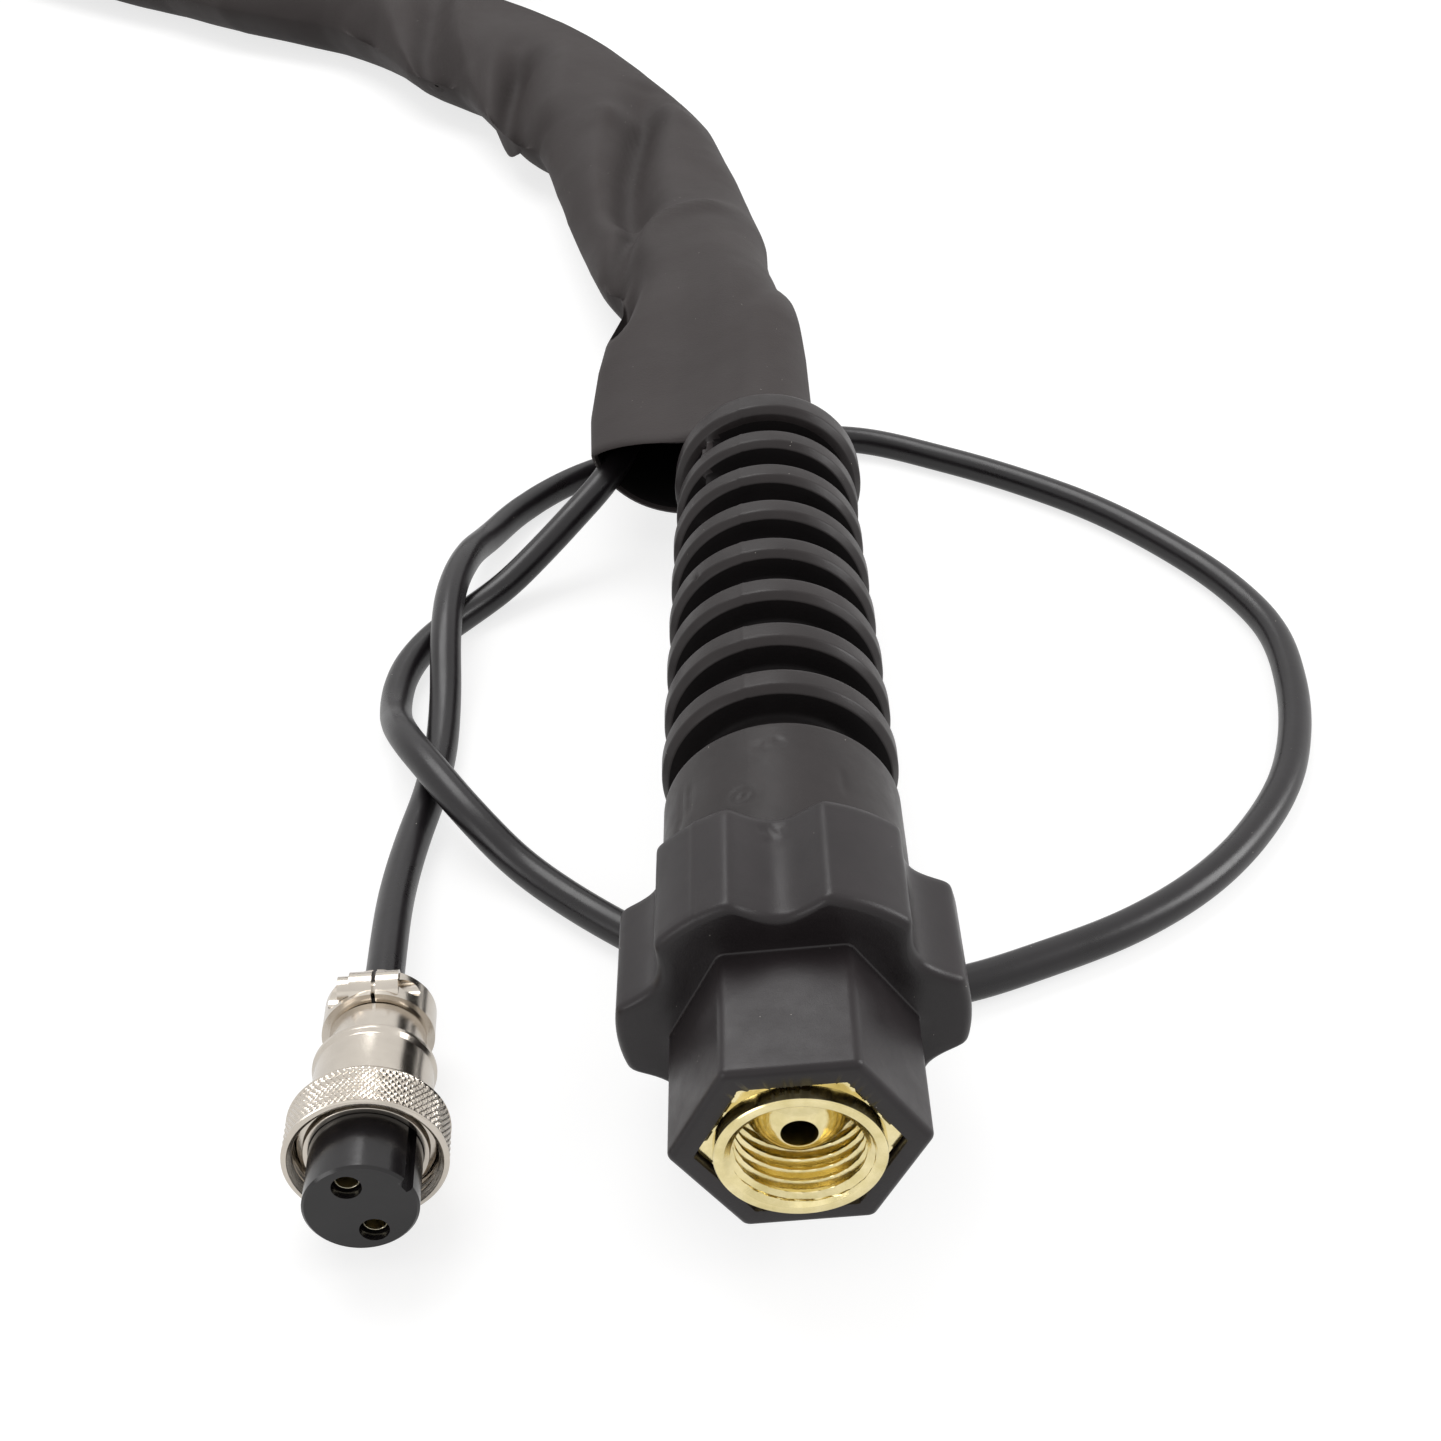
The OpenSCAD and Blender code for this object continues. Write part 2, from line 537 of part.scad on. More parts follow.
// Shell: the tube that holds the insert, with the flange that stops the coupling ring
module plug_shell() color("silver") at_plug() difference() {
    turned([[0, -ring_half + 1.2], [shell_front_d / 2, -ring_half + 1.2],
        [shell_front_d / 2, shell_flange_y],
        [shell_flange_d / 2, shell_flange_y], [shell_flange_d / 2, shell_flange_y + shell_flange_l],
        [shell_d / 2, shell_flange_y + shell_flange_l], [shell_d / 2, shell_end_y - 0.5],
        [shell_d / 2 - 0.4, shell_end_y], [0, shell_end_y]]);
    rod(insert_bore_d, -ring_half, insert_seat_y);
    rod(insert_bore_d - 1.6, insert_seat_y - 1, shell_end_y + 1);
    rod(spigot_in_d + 2 * run_fit, shell_end_y - spigot_in_l - seat_gap, shell_end_y + 1);
}

module plug_slip_ring() color("ivory") at_plug() difference() {
    rod(ring_thread_d - 0.2, slip_y, slip_y + slip_t);
    rod(shell_d + free_fit, slip_y - 1, slip_y + 1);
}

module plug_coupling_ring() color("lightgray") at_plug() difference() {
    turned([[0, -ring_half], [ring_d / 2 - 0.5, -ring_half], [ring_d / 2, -ring_half + 0.5],
        [ring_d / 2, ring_half - 1.2], [ring_d / 2 - 0.5, ring_half - 0.4], [ring_d / 2 - 1.2, ring_half],
            [0, ring_half]]);
    rod(ring_thread_d, -ring_half - 1, ring_half - ring_back_l);
    rod(shell_d + free_fit, 0, ring_half + 1);
}

// Insert: the moulded carrier of the contacts, with a keyway down its side
module plug_insert() color("#1c1b1c") at_plug() {
    front = -ring_half - insert_proud;
    r = insert_d / 2;
    back = insert_seat_y - seat_gap;
    difference() {
        turned([[0, front], [r - 0.3, front], [r, front + 0.3], [r, back], [0, back]]);
        rotate([0, -30, 0]) translate([r - 0.9, front - 1, -0.8]) cube([2, insert_proud + 3, 1.6]);
        for (s = [-1, 1]) contact_place(s) rod(socket_d, front - 1, back + 1);
    }
}

module contact_place(s) rotate([0, -19, 0]) translate([0, 0, s * socket_pitch / 2]) children();

// Contacts: turned sockets that sit back in the insert, with solder cups behind it
module plug_contacts() color("#d9c58a") at_plug() {
    front = -ring_half - insert_proud + contact_sunk;
    back = insert_seat_y + 3;
    for (s = [-1, 1]) contact_place(s) difference() {
        rod(socket_d - 2 * run_fit, front, back);
        rod(socket_d - 2 * contact_wall, front - 1, front + 8);
        rod(socket_d - 1.4, back - 3, back + 1);
    }
}

module plug_back_shell() color("silver") at_plug() difference() {
    turned([[0, shell_end_y - spigot_in_l], [spigot_in_d / 2, shell_end_y - spigot_in_l],
        [spigot_in_d / 2, shell_end_y + seat_gap], [shell_d / 2 - 0.5, shell_end_y + seat_gap],
        [shell_d / 2 - 0.5, back_end_y - 0.8], [shell_d / 2 - 1.2, back_end_y], [0, back_end_y]]);
    rod(spigot_in_d - 2, shell_end_y - spigot_in_l - 1, back_end_y - 1.4);
    rod(jaw_bore_d + 0.4, shell_end_y, back_end_y + 1);
}

// Clamp: two jaws, left and right of the cable, drawn together by a screw above and one below
module cable_clamp() color("silver") at_plug() {
    y0 = back_end_y + seat_gap;
    r = shell_d / 2 - 0.5;
    for (s = [-1, 1]) difference() {
        union() {
            turned([[0, y0], [r, y0], [r, y0 + clamp_l - 1.2], [r - 1.2, y0 + clamp_l], [0, y0 + clamp_l]]);
            for (e = [-1, 1]) across(e, -ear_half_l, boss_d, 2 * ear_half_l);
        }
        rod(jaw_bore_d, y0 - 1, y0 + clamp_l + 1);
        translate([s > 0 ? -2 * shell_d : -clamp_split / 2, y0 - 1, -shell_d])
            cube([2 * shell_d + (s > 0 ? clamp_split / 2 : 0), clamp_l + 2, 2 * shell_d]);
        for (e = [-1, 1]) {
            across(e, -shell_d, screw_d + 2 * run_fit, 2 * shell_d);
            across(e, -ear_half_l - shell_d, screw_head_d + free_fit, shell_d);
        }
    }
}

// A rod across the clamp at its upper or lower screw, from x towards +X
module across(e, x, d, l) translate([x, screw_y, e * ear_r]) rotate([0, 90, 0])
    cylinder(d = d, h = l, $fn = 48);

module clamp_screws() color("lightgray") at_plug() for (e = [-1, 1]) {
    across(e, -ear_half_l - 0.2, screw_d, 2 * ear_half_l);
    difference() {
        across(e, -ear_half_l - run_fit - screw_head_l, screw_head_d, screw_head_l);
        translate([-ear_half_l - screw_head_l - 1, screw_y - screw_head_d, e * ear_r - 0.3])
            cube([1.5, 2 * screw_head_d, 0.6]);
    }
}

module cable_grommet() color("#1c1b1c") at_plug()
    rod(jaw_bore_d - 2 * run_fit, back_end_y - 3, grommet_end_y);

// ---------- torch ----------

function on_torch(p) = TORCH_AT + spin_z(p - [torch_mid, 0, 0], torch_turn);
module at_torch() translate(TORCH_AT) rotate([0, 0, torch_turn]) translate([-torch_mid, 0, 0]) children();
// The electrode's own axis: +Y runs out of the cup
module at_head() at_torch() translate([head_x, 0, 0]) rotate([0, 0, -90 - head_angle]) children();
// A solid turned about the handle's axis from [radius, x] points
module turned_x(profile) rotate([0, 90, 0]) rotate_extrude($fn = fine) polygon(profile);

// Cuff: the swivelling strain relief that the hose and the sleeve run into
module handle_cuff() color("#232225") at_torch() difference() {
    r = waist_d / 2;
    turned_x(concat([[0, -cuff_l], [r - 3, -cuff_l]],
        [for (k = [0:3], p = [[0, 1], [0, 4.4], [-1.6, 5], [-1.6, 6.4]]) [r - 1.4 + k * 0.4 + p[0],
            -cuff_l + k * 6.4 + p[1]]],
        [[r, -cuff_l + 27], [r, -1], [handle_d / 2 - handle_wall - run_fit, -0.9],
            [handle_d / 2 - handle_wall - run_fit, 12], [0, 12]]));
    turned_x([[0, -cuff_l + 6], [hose_d / 2, -cuff_l + 6], [hose_d / 2, 13], [0, 13]]);
}

function handle_r(w) = let (m = sin(180 * w)) handle_d / 2 - (handle_d - waist_d) / 2 * m * m;

// Handle: a moulded tube with a waist, grip ribs and a seat for the switch
module torch_handle() color("#2b2a2d") at_torch() {
    n = 24;
    difference() {
        turned_x(concat([[0, 0], [handle_d / 2 - 0.8, 0]],
            [for (i = [1:n - 1]) [handle_r(i / n) - (i % 2) * 0.35, handle_l * i / n]],
            [[handle_d / 2 - 1.2, handle_l - 1], [handle_d / 2 - 2.4, handle_l], [0, handle_l]]));
        turned_x([[0, -1], [handle_d / 2 - handle_wall, -1], [handle_d / 2 - handle_wall, cuff_socket_l],
            [waist_d / 2 - handle_wall, cuff_socket_l + 16],
                [waist_d / 2 - handle_wall, handle_l - neck_seat_l], [0, handle_l - neck_seat_l]]);
        turned_x([[0, handle_l - neck_seat_l - 1], [neck_d / 2 + run_fit, handle_l - neck_seat_l - 1],
            [neck_d / 2 + run_fit, handle_l + 1], [0, handle_l + 1]]);
        switch_window();
    }
}

// The switch sits in a window on the side that the forefinger reaches
switch_l = 36;
switch_w = 13;
switch_seat = waist_d / 2 - handle_wall - 3;
module switch_window() translate([switch_x - switch_l / 2 - 0.15, switch_seat, -switch_w / 2 - 0.15])
    cube([switch_l + 0.3, handle_d, switch_w + 0.3]);

module switch_housing() color("#1f1e21") at_torch() difference() {
    top = waist_d / 2 + 3;
    translate([switch_x, 0, -switch_w / 2]) linear_extrude(switch_w)
        polygon([[-switch_l / 2, switch_seat + 0.2], [switch_l / 2, switch_seat + 0.2],
            [switch_l / 2, waist_d / 2 + 0.6],
            [switch_l / 2 - 5, top], [button_l / 2 + 2, top], [-button_l / 2 - 2, top],
            [-switch_l / 2 + 4, top - 0.6], [-switch_l / 2, waist_d / 2 + 0.6]]);
    translate([switch_x - button_l / 2 - free_fit, switch_seat + 1.6, -button_w / 2 - free_fit])
        cube([button_l + 2 * free_fit, handle_d, button_w + 2 * free_fit]);
}

button_foot_y = waist_d / 2 + 0.4;
module trigger_button() color("#c4472f") at_torch() {
    top = waist_d / 2 + 3 + trigger_travel + 0.8;
    difference() {
        translate([switch_x, 0, -button_w / 2]) linear_extrude(button_w) polygon(concat(
            [[-button_l / 2, button_foot_y], [button_l / 2, button_foot_y]],
            [for (i = [0:12]) let (x = button_l / 2 * cos(180 * i / 12)) [x,
                top - 1.2 * pow(2 * x / button_l, 2)]]));
        translate([switch_x, button_foot_y - 1, 0]) rotate([-90, 0, 0]) cylinder(d = 4.6, h = 2.4,
            $fn = 32);
    }
}

// The spring under the button, wound from a formula
spring_turns = 4;
module trigger_spring() color("silver") at_torch() {
    y0 = switch_seat + 1.65 + 0.25;
    y1 = button_foot_y + 1.35 - 0.25;
    n = spring_turns * 8;
    pts = [for (i = [0:n]) [switch_x + 1.8 * cos(i * 45), y0 + (y1 - y0) * i / n, 1.8 * sin(i * 45)]];
    tube([for (i = [0:n]) let (t = heading(pts, i), s = unit([t[2], 0, -t[0]]), u = cross(s, t))
        [for (k = [0:5]) pts[i] + 0.22 * (s * cos(60 * k) + u * sin(60 * k))]]);
}

module micro_switch() color("#3b3a3d") at_torch() {
    x = switch_x - button_l / 2;
    w = button_w - 1;
    difference() {
        translate([x, switch_seat + 1.6 + seat_gap, -w / 2]) cube([5,
            button_foot_y - trigger_travel - switch_seat - 2.2, w]);
        translate([x + 2.5, button_foot_y - trigger_travel - 1, 0]) rotate([-90, 0, 0]) cylinder(d = 1.6,
            h = 4, $fn = 24);
    }
}

// Head's metal core: a tube on the electrode's axis, and the neck that brings gas and current
module head_core() color("#c08f45") difference() {
    union() {
        at_head() rod(core_d, -head_back_l, head_front_l);
        at_torch() turned_x([[0, tube_x], [tube_r, tube_x], [tube_r, head_x - 4], [0, head_x - 4]]);
    }
    at_head() {
        rod(core_bore_d, -head_back_l - 1, -head_back_l + spigot_l + 1);
        rod(core_mid_bore_d, -head_back_l, head_front_l);
        rod(core_bore_d, head_front_l - 12, head_front_l + 1);
    }
    at_torch() turned_x([[0, tube_x - 1], [tube_r - 3, tube_x - 1], [tube_r - 3, head_x - 5.2],
        [0, head_x - 5.2]]);
}

module head_cover() color("#242326") difference() {
    union() {
        at_head() turned([[0, -head_back_l - 0.4], [head_d / 2 - 2, -head_back_l - 0.4],
            [head_d / 2 - 0.5, -head_back_l + 0.8],
            [head_d / 2, -head_back_l + 3], [head_d / 2, head_front_l - 3],
                [head_d / 2 - 1.2, head_front_l], [0, head_front_l]]);
        at_torch() turned_x([[0, handle_l - neck_seat_l + 2], [neck_d / 2, handle_l - neck_seat_l + 2],
            [neck_d / 2, handle_l + 3],
            [neck_d / 2 + 1, handle_l + 10], [head_d / 2 - 2, head_x - 3], [head_d / 2 - 3, head_x],
                [0, head_x]]);
    }
    at_head() rod(core_d + 2 * run_fit, -head_back_l - 1, head_front_l + 1);
    at_torch() turned_x([[0, tube_x - 1], [tube_r + run_fit, tube_x - 1], [tube_r + run_fit, head_x - 4],
        [0, head_x - 4]]);
}

module collet_body() color("#b9713c") at_head() difference() {
    turned([[0, head_front_l - 11.5], [collet_thread_d / 2, head_front_l - 11.5],
        [collet_thread_d / 2, cup_y - seat_gap],
        [cup_thread_d / 2, cup_y - seat_gap], [cup_thread_d / 2, cup_y + 12],
            [cup_thread_d / 2 - 1.4, cup_y + 13.4],
        [4.2, cup_y + 15], [4.2, collet_tip_y - 3], [2.6, collet_tip_y], [0, collet_tip_y]]);
    rod(collet_bore_d, head_front_l - 12, collet_tip_y - 4);
    rod(electrode_d + 0.4, collet_tip_y - 5, collet_tip_y + 1);
    for (k = [0:3]) rotate([0, 45 + 90 * k, 0]) translate([0, cup_y + 17.5, 0]) cylinder(d = 1.8, h = 9,
        $fn = 24);
}
collet_bore_d = 5;

// Collet: a split copper tube that grips the electrode
module collet() color("#c07a44") at_head() difference() {
    y1 = collet_tip_y - 4.2;
    turned([[0, cap_y + 12], [2.3, cap_y + 12], [2.3, y1 - 2], [1.9, y1], [0, y1]]);
    rod(electrode_d + 2 * run_fit, cap_y + 11, y1 + 1);
    translate([-3, y1 - 16, -0.25]) cube([6, 17, 0.5]);
}

module cup_gasket() color("ivory") at_head() difference() {
    turned([[0, head_front_l + seat_gap], [head_d / 2 - 1.4, head_front_l + seat_gap],
        [head_d / 2 - 0.8, head_front_l + 0.9],
        [cup_back_d / 2 + 0.5, head_front_l + gasket_l], [0, head_front_l + gasket_l]]);
    rod(collet_thread_d + 0.2, head_front_l - 1, head_front_l + gasket_l + 1);
}

module gas_cup() color("#d98c6a") at_head() difference() {
    front = cup_y + cup_l;
    r1 = cup_back_d / 2;
    r2 = cup_mouth_d / 2 + cup_front_wall;
    turned([[0, cup_y], [r1 - 0.4, cup_y], [r1, cup_y + 0.5], [r1, cup_y + cup_skirt_l],
        [r1 - 0.6, cup_y + cup_skirt_l + 2],
        [r2 + 0.8, cup_y + cup_waist_l], [r2, cup_y + cup_waist_l + 3], [r2, front - 0.5],
            [r2 - 0.5, front], [0, front]]);
    turned([[0, cup_y - 1], [cup_thread_d / 2 + run_fit, cup_y - 1],
        [cup_thread_d / 2 + run_fit, cup_y + 13.6],
        [cup_mouth_d / 2, cup_y + cup_waist_l + 1], [cup_mouth_d / 2, front + 1], [0, front + 1]]);
}

module tungsten_electrode() color("#9a9c9f") at_head()
    turned([[0, electrode_end_y], [electrode_d / 2, electrode_end_y], [electrode_d / 2, tip_y - 5],
        [0.15, tip_y], [0, tip_y]]);

module back_cap() color("#242326") at_head() difference() {
    turned([[0, cap_y - cap_l], [cap_end_d / 2 - 1.4, cap_y - cap_l], [cap_end_d / 2, cap_y - cap_l + 1.4],
        [cap_end_d / 2 + 0.8, cap_y - 2 * cap_grip_l], [cap_front_d / 2 - 1, cap_y - cap_grip_l - 3],
            [cap_front_d / 2, cap_y - cap_grip_l],
        [cap_front_d / 2, cap_y - 0.6], [cap_front_d / 2 - 0.6, cap_y], [4.4, cap_y],
            [4.4, -head_back_l + 0.6],
        [core_bore_d / 2 - run_fit, -head_back_l + 0.9],
            [core_bore_d / 2 - run_fit, -head_back_l + spigot_l], [0, -head_back_l + spigot_l]]);
    rod(cap_bore_d, cap_y - cap_l + 3, -head_back_l + spigot_l + 1);
    for (k = [0:11]) rotate([0, 30 * k, 0]) translate([cap_front_d / 2 + 0.9, cap_y - cap_grip_l + 1,
        0]) rotate([-90, 0, 0])
        cylinder(d = 3, h = cap_grip_l - 2.5, $fn = 20);
}

module cap_o_ring() color("#3c3b3e") at_head() translate([0, cap_y + 0.85, 0]) rotate([-90, 0, 0])
    rotate_extrude($fn = 64) translate([5.2, 0]) circle(d = 1.4, $fn = 24);

coupling_nut();
nut_slip_ring();
grip_cover();
connector_stem();
hose_ferrule();
power_hose();
copper_conductor();
bend_boot();
cable_sleeve();
cable_sleeve_coil();
cable_sleeve_tail();
control_cable();
plug_shell();
plug_slip_ring();
plug_coupling_ring();
plug_insert();
plug_contacts();
plug_back_shell();
cable_clamp();
clamp_screws();
cable_grommet();
handle_cuff();
torch_handle();
switch_housing();
trigger_button();
trigger_spring();
micro_switch();
head_core();
head_cover();
collet_body();
collet();
cup_gasket();
gas_cup();
tungsten_electrode();
back_cap();
cap_o_ring();
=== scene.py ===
import math

import bmesh
import bpy
import numpy as np
from mathutils import Euler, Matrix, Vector


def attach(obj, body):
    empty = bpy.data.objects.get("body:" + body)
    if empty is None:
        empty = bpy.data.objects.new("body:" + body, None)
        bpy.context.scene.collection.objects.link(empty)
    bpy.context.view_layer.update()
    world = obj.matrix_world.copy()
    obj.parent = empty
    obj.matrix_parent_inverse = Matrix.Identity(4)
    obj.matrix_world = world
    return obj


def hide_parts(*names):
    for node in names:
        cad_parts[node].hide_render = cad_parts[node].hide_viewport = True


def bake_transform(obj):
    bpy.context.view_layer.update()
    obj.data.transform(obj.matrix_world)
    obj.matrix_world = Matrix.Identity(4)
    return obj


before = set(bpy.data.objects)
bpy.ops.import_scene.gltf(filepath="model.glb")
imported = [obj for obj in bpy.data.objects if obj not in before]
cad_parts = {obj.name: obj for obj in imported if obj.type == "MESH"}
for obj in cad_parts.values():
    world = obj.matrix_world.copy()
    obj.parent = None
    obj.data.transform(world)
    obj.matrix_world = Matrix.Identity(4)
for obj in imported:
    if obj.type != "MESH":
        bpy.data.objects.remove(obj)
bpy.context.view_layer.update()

# Lengths below are in millimetres in the part's frame, and become metres when a mesh is made.
MM = 0.001
RNG = np.random.default_rng(7)
FLOOR_Z = -20.6
TAU = 2 * math.pi


# ---------------------------------------------------------------- camera

SENSOR_W, FOCAL_PX, FRAME_PX = 36, 1828.6, 1441
camera = bpy.data.objects.new("camera", bpy.data.cameras.new("camera"))
bpy.context.scene.collection.objects.link(camera)
camera.location = (-0.00957, -0.12986, 0.1551)
camera.rotation_euler = Euler((math.radians(52.70), 0, math.radians(-0.458)))
camera.data.sensor_width = SENSOR_W
camera.data.lens = SENSOR_W * FOCAL_PX / FRAME_PX
camera.data.clip_start = 0.005
bpy.context.scene.camera = camera


# ---------------------------------------------------------------- materials

GRAIN_DEPTH, DENT_DEPTH, PEBBLE_DEPTH, TOOL_MARK_DEPTH = 0.05, 0.3, 0.06, 0.004
PEBBLE_MM, TOOL_MARK_MM, SPECK_CELL_MM, SPECK_FIELD_MM = 0.42, 0.12, 1.3, 2.1


def node_of(tree, kind, **values):
    """A node with its sockets set, or linked where the value is another node's socket."""
    node = tree.nodes.new(kind)
    for key, value in values.items():
        if hasattr(node, key) and key not in node.inputs:
            setattr(node, key, value)
            continue
        name = int(key[1:]) if key[0] == "i" and key[1:].isdigit() else key.replace("_", " ")
        if isinstance(value, bpy.types.NodeSocket):
            tree.links.new(value, node.inputs[name])
        else:
            node.inputs[name].default_value = value
    return node


def noise(tree, where, size_mm, detail, rough=0.5):
    """Noise with lumps of about size_mm."""
    return node_of(tree, "ShaderNodeTexNoise", Vector=where, Scale=1000.0 / size_mm, Detail=detail,
                   Roughness=rough).outputs[0]


def spread(tree, value, low, high, from_low=0.3, from_high=0.7):
    """A value of from_low to from_high, mapped to low to high."""
    return node_of(tree, "ShaderNodeMapRange", Value=value, i1=from_low, i2=from_high, i3=low, i4=high).outputs[0]


def blend_colour(tree, factor, a, b):
    """Colour a where factor is 0, and b where it is 1."""
    node = node_of(tree, "ShaderNodeMix", data_type="RGBA")
    for socket, value in ((node.inputs[0], factor), (node.inputs[6], a), (node.inputs[7], b)):
        if isinstance(value, bpy.types.NodeSocket):
            tree.links.new(value, socket)
        else:
            socket.default_value = value if not hasattr(value, "__len__") else (*value[:3], 1)
    return node.outputs[2]


def maths(tree, a, b, operation="MULTIPLY"):
    """The product of a and b, or another operation on them."""
    return node_of(tree, "ShaderNodeMath", operation=operation, i0=a, i1=b).outputs[0]


def finish(name, colour, rough, metallic=0.0, mottle=0.12, mottle_mm=9.0, rough_spread=0.08, grain=0.25,
           grain_mm=0.18, dents=0.0, dents_mm=4.0, dust=0.0, dust_colour=(0.45, 0.42, 0.38), specular=0.5,
           weave=0.0, lines=None, tint=None):
    """A moulded, woven or turned finish: mottled colour, uneven gloss and fine grain, with shallow dents, dust, a
    pebbled weave or tool marks where asked. lines is the axis that the tool marks go round."""
    material = bpy.data.materials.new(name)
    material.use_nodes = True
    tree = material.node_tree
    shader = tree.nodes["Principled BSDF"]
    where = node_of(tree, "ShaderNodeTexCoord").outputs["Object"]
    shader.inputs["Metallic"].default_value = metallic
    shader.inputs["Specular IOR Level"].default_value = specular
    low = [c * (1 - mottle) for c in colour]
    high = [c * (1 + mottle) for c in (tint or colour)]
    blotch = noise(tree, where, mottle_mm, 4.0, 0.6)
    shade = blend_colour(tree, spread(tree, blotch, 0, 1), low, high)
    if dust:
        cell = node_of(tree, "ShaderNodeTexVoronoi", Vector=where, Scale=1000 / SPECK_CELL_MM)
        speck = maths(tree, cell.outputs["Distance"], 0.055, "LESS_THAN")
        rare = maths(tree, noise(tree, where, SPECK_FIELD_MM, 1.0), 0.66 - 0.1 * dust, "GREATER_THAN")
        shade = blend_colour(tree, maths(tree, speck, rare), shade, dust_colour)
    tree.links.new(shade, shader.inputs["Base Color"])
    uneven = noise(tree, where, mottle_mm * 0.6, 5.0, 0.65)
    tree.links.new(spread(tree, uneven, rough - rough_spread, rough + rough_spread), shader.inputs["Roughness"])
    normal = node_of(tree, "ShaderNodeBump", Height=noise(tree, where, grain_mm, 3.0, 0.6), Strength=grain,
                     Distance=GRAIN_DEPTH * MM)
    if dents:
        normal = node_of(tree, "ShaderNodeBump", Height=noise(tree, where, dents_mm, 3.0, 0.55), Strength=dents,
                         Distance=DENT_DEPTH * MM, Normal=normal.outputs[0])
    if weave:
        pebble = node_of(tree, "ShaderNodeTexVoronoi", Vector=where, Scale=1000 / PEBBLE_MM, feature="SMOOTH_F1")
        normal = node_of(tree, "ShaderNodeBump", Height=pebble.outputs["Distance"], Strength=weave,
                         Distance=PEBBLE_DEPTH * MM, Normal=normal.outputs[0])
    if lines:
        along = node_of(tree, "ShaderNodeVectorMath", operation="DOT_PRODUCT", i0=where, i1=lines)
        turned = node_of(tree, "ShaderNodeTexNoise", noise_dimensions="1D", W=along.outputs["Value"],
                         Scale=1000 / TOOL_MARK_MM, Detail=2.0)
        normal = node_of(tree, "ShaderNodeBump", Height=turned.outputs[0], Strength=0.6,
                         Distance=TOOL_MARK_DEPTH * MM, Normal=normal.outputs[0])
    tree.links.new(normal.outputs[0], shader.inputs["Normal"])
    return material


PLASTIC = finish("black_plastic", (0.0215, 0.0172, 0.0186), 0.35, specular=0.36, mottle=0.16, rough_spread=0.07,
                 grain=0.3, dents=0.12, dents_mm=5, dust=0.35)
BOOT = finish("boot_rubber", (0.0245, 0.0198, 0.0199), 0.38, specular=0.29, mottle=0.15, rough_spread=0.08, grain=0.35,
              dents=0.18, dents_mm=6, dust=0.35)
# Painted shade: a copy of the boot's rubber at about a third of its brightness and matte, for the groove floors where
# shade falls
BOOT_GROOVE_PAINTED_SHADE = finish("boot_groove_painted_shade", (0.0075, 0.0061, 0.0063), 0.62, specular=0.12, mottle=0.2, grain=0.5)
TIE = finish("tie_webbing", (0.016, 0.0155, 0.017), 0.8, mottle=0.15, grain=0.8, grain_mm=0.5, weave=0.8, specular=0.2)
LEATHERCLOTH = finish("leathercloth", (0.040, 0.0332, 0.0326), 0.62, mottle=0.06, mottle_mm=30, rough_spread=0.05,
                      grain=0.5, grain_mm=0.3, weave=0.35, specular=0.25, dust=0.1)
LINING = finish("sleeve_lining", (0.012, 0.011, 0.011), 0.9, grain=0.5, grain_mm=0.4, specular=0.1)
CABLE = finish("cable_pvc", (0.011, 0.009, 0.0105), 0.3, mottle=0.2, mottle_mm=14, rough_spread=0.05, grain=0.15,
               grain_mm=0.3, dents=0.25, dents_mm=7, dust=0.15)
BRASS = finish("brass", (0.82, 0.70, 0.34), 0.15, metallic=1, mottle=0.08, mottle_mm=3, rough_spread=0.06,
               grain=0.15, tint=(0.88, 0.77, 0.45), lines=(0, 1, 0))
NICKEL = finish("nickel", (0.64, 0.585, 0.515), 0.19, metallic=1, mottle=0.06, mottle_mm=4, rough_spread=0.05,
                grain=0.12, dents=0.05, dents_mm=3, lines=(-0.078, 0.993, -0.087))
INSERT = finish("insert_plastic", (0.012, 0.0105, 0.0115), 0.2, mottle=0.3, mottle_mm=5, rough_spread=0.07,
                grain=0.15, dents=0.1, dust=0.25, dust_colour=(0.3, 0.29, 0.28))
CONTACT = finish("contact_brass", (0.85, 0.78, 0.58), 0.2, metallic=1, mottle=0.1, grain=0.2)
STEEL = finish("steel", (0.55, 0.55, 0.54), 0.28, metallic=1, mottle=0.08, grain=0.2)
COPPER = finish("copper", (0.70, 0.36, 0.22), 0.3, metallic=1, mottle=0.12, grain=0.25, lines=(0.966, -0.259, 0))
RUBBER = finish("hose_rubber", (0.02, 0.019, 0.02), 0.6, grain=0.4)
NYLON = finish("nylon", (0.72, 0.70, 0.64), 0.45, grain=0.2)
BUTTON = finish("button_plastic", (0.42, 0.035, 0.02), 0.36, mottle=0.08, grain=0.3)
HEAD = finish("head_rubber", (0.02, 0.019, 0.02), 0.5, mottle=0.2, grain=0.4, dents=0.15, dust=0.2)
GASKET = finish("gasket_white", (0.74, 0.73, 0.69), 0.4, grain=0.2)
ALUMINA = finish("alumina", (0.62, 0.26, 0.17), 0.62, mottle=0.07, mottle_mm=2.5, grain=0.45, grain_mm=0.12,
                 tint=(0.68, 0.31, 0.21))
TUNGSTEN = finish("tungsten", (0.42, 0.42, 0.43), 0.3, metallic=1, mottle=0.1, grain=0.2, lines=(0.966, -0.259, 0))

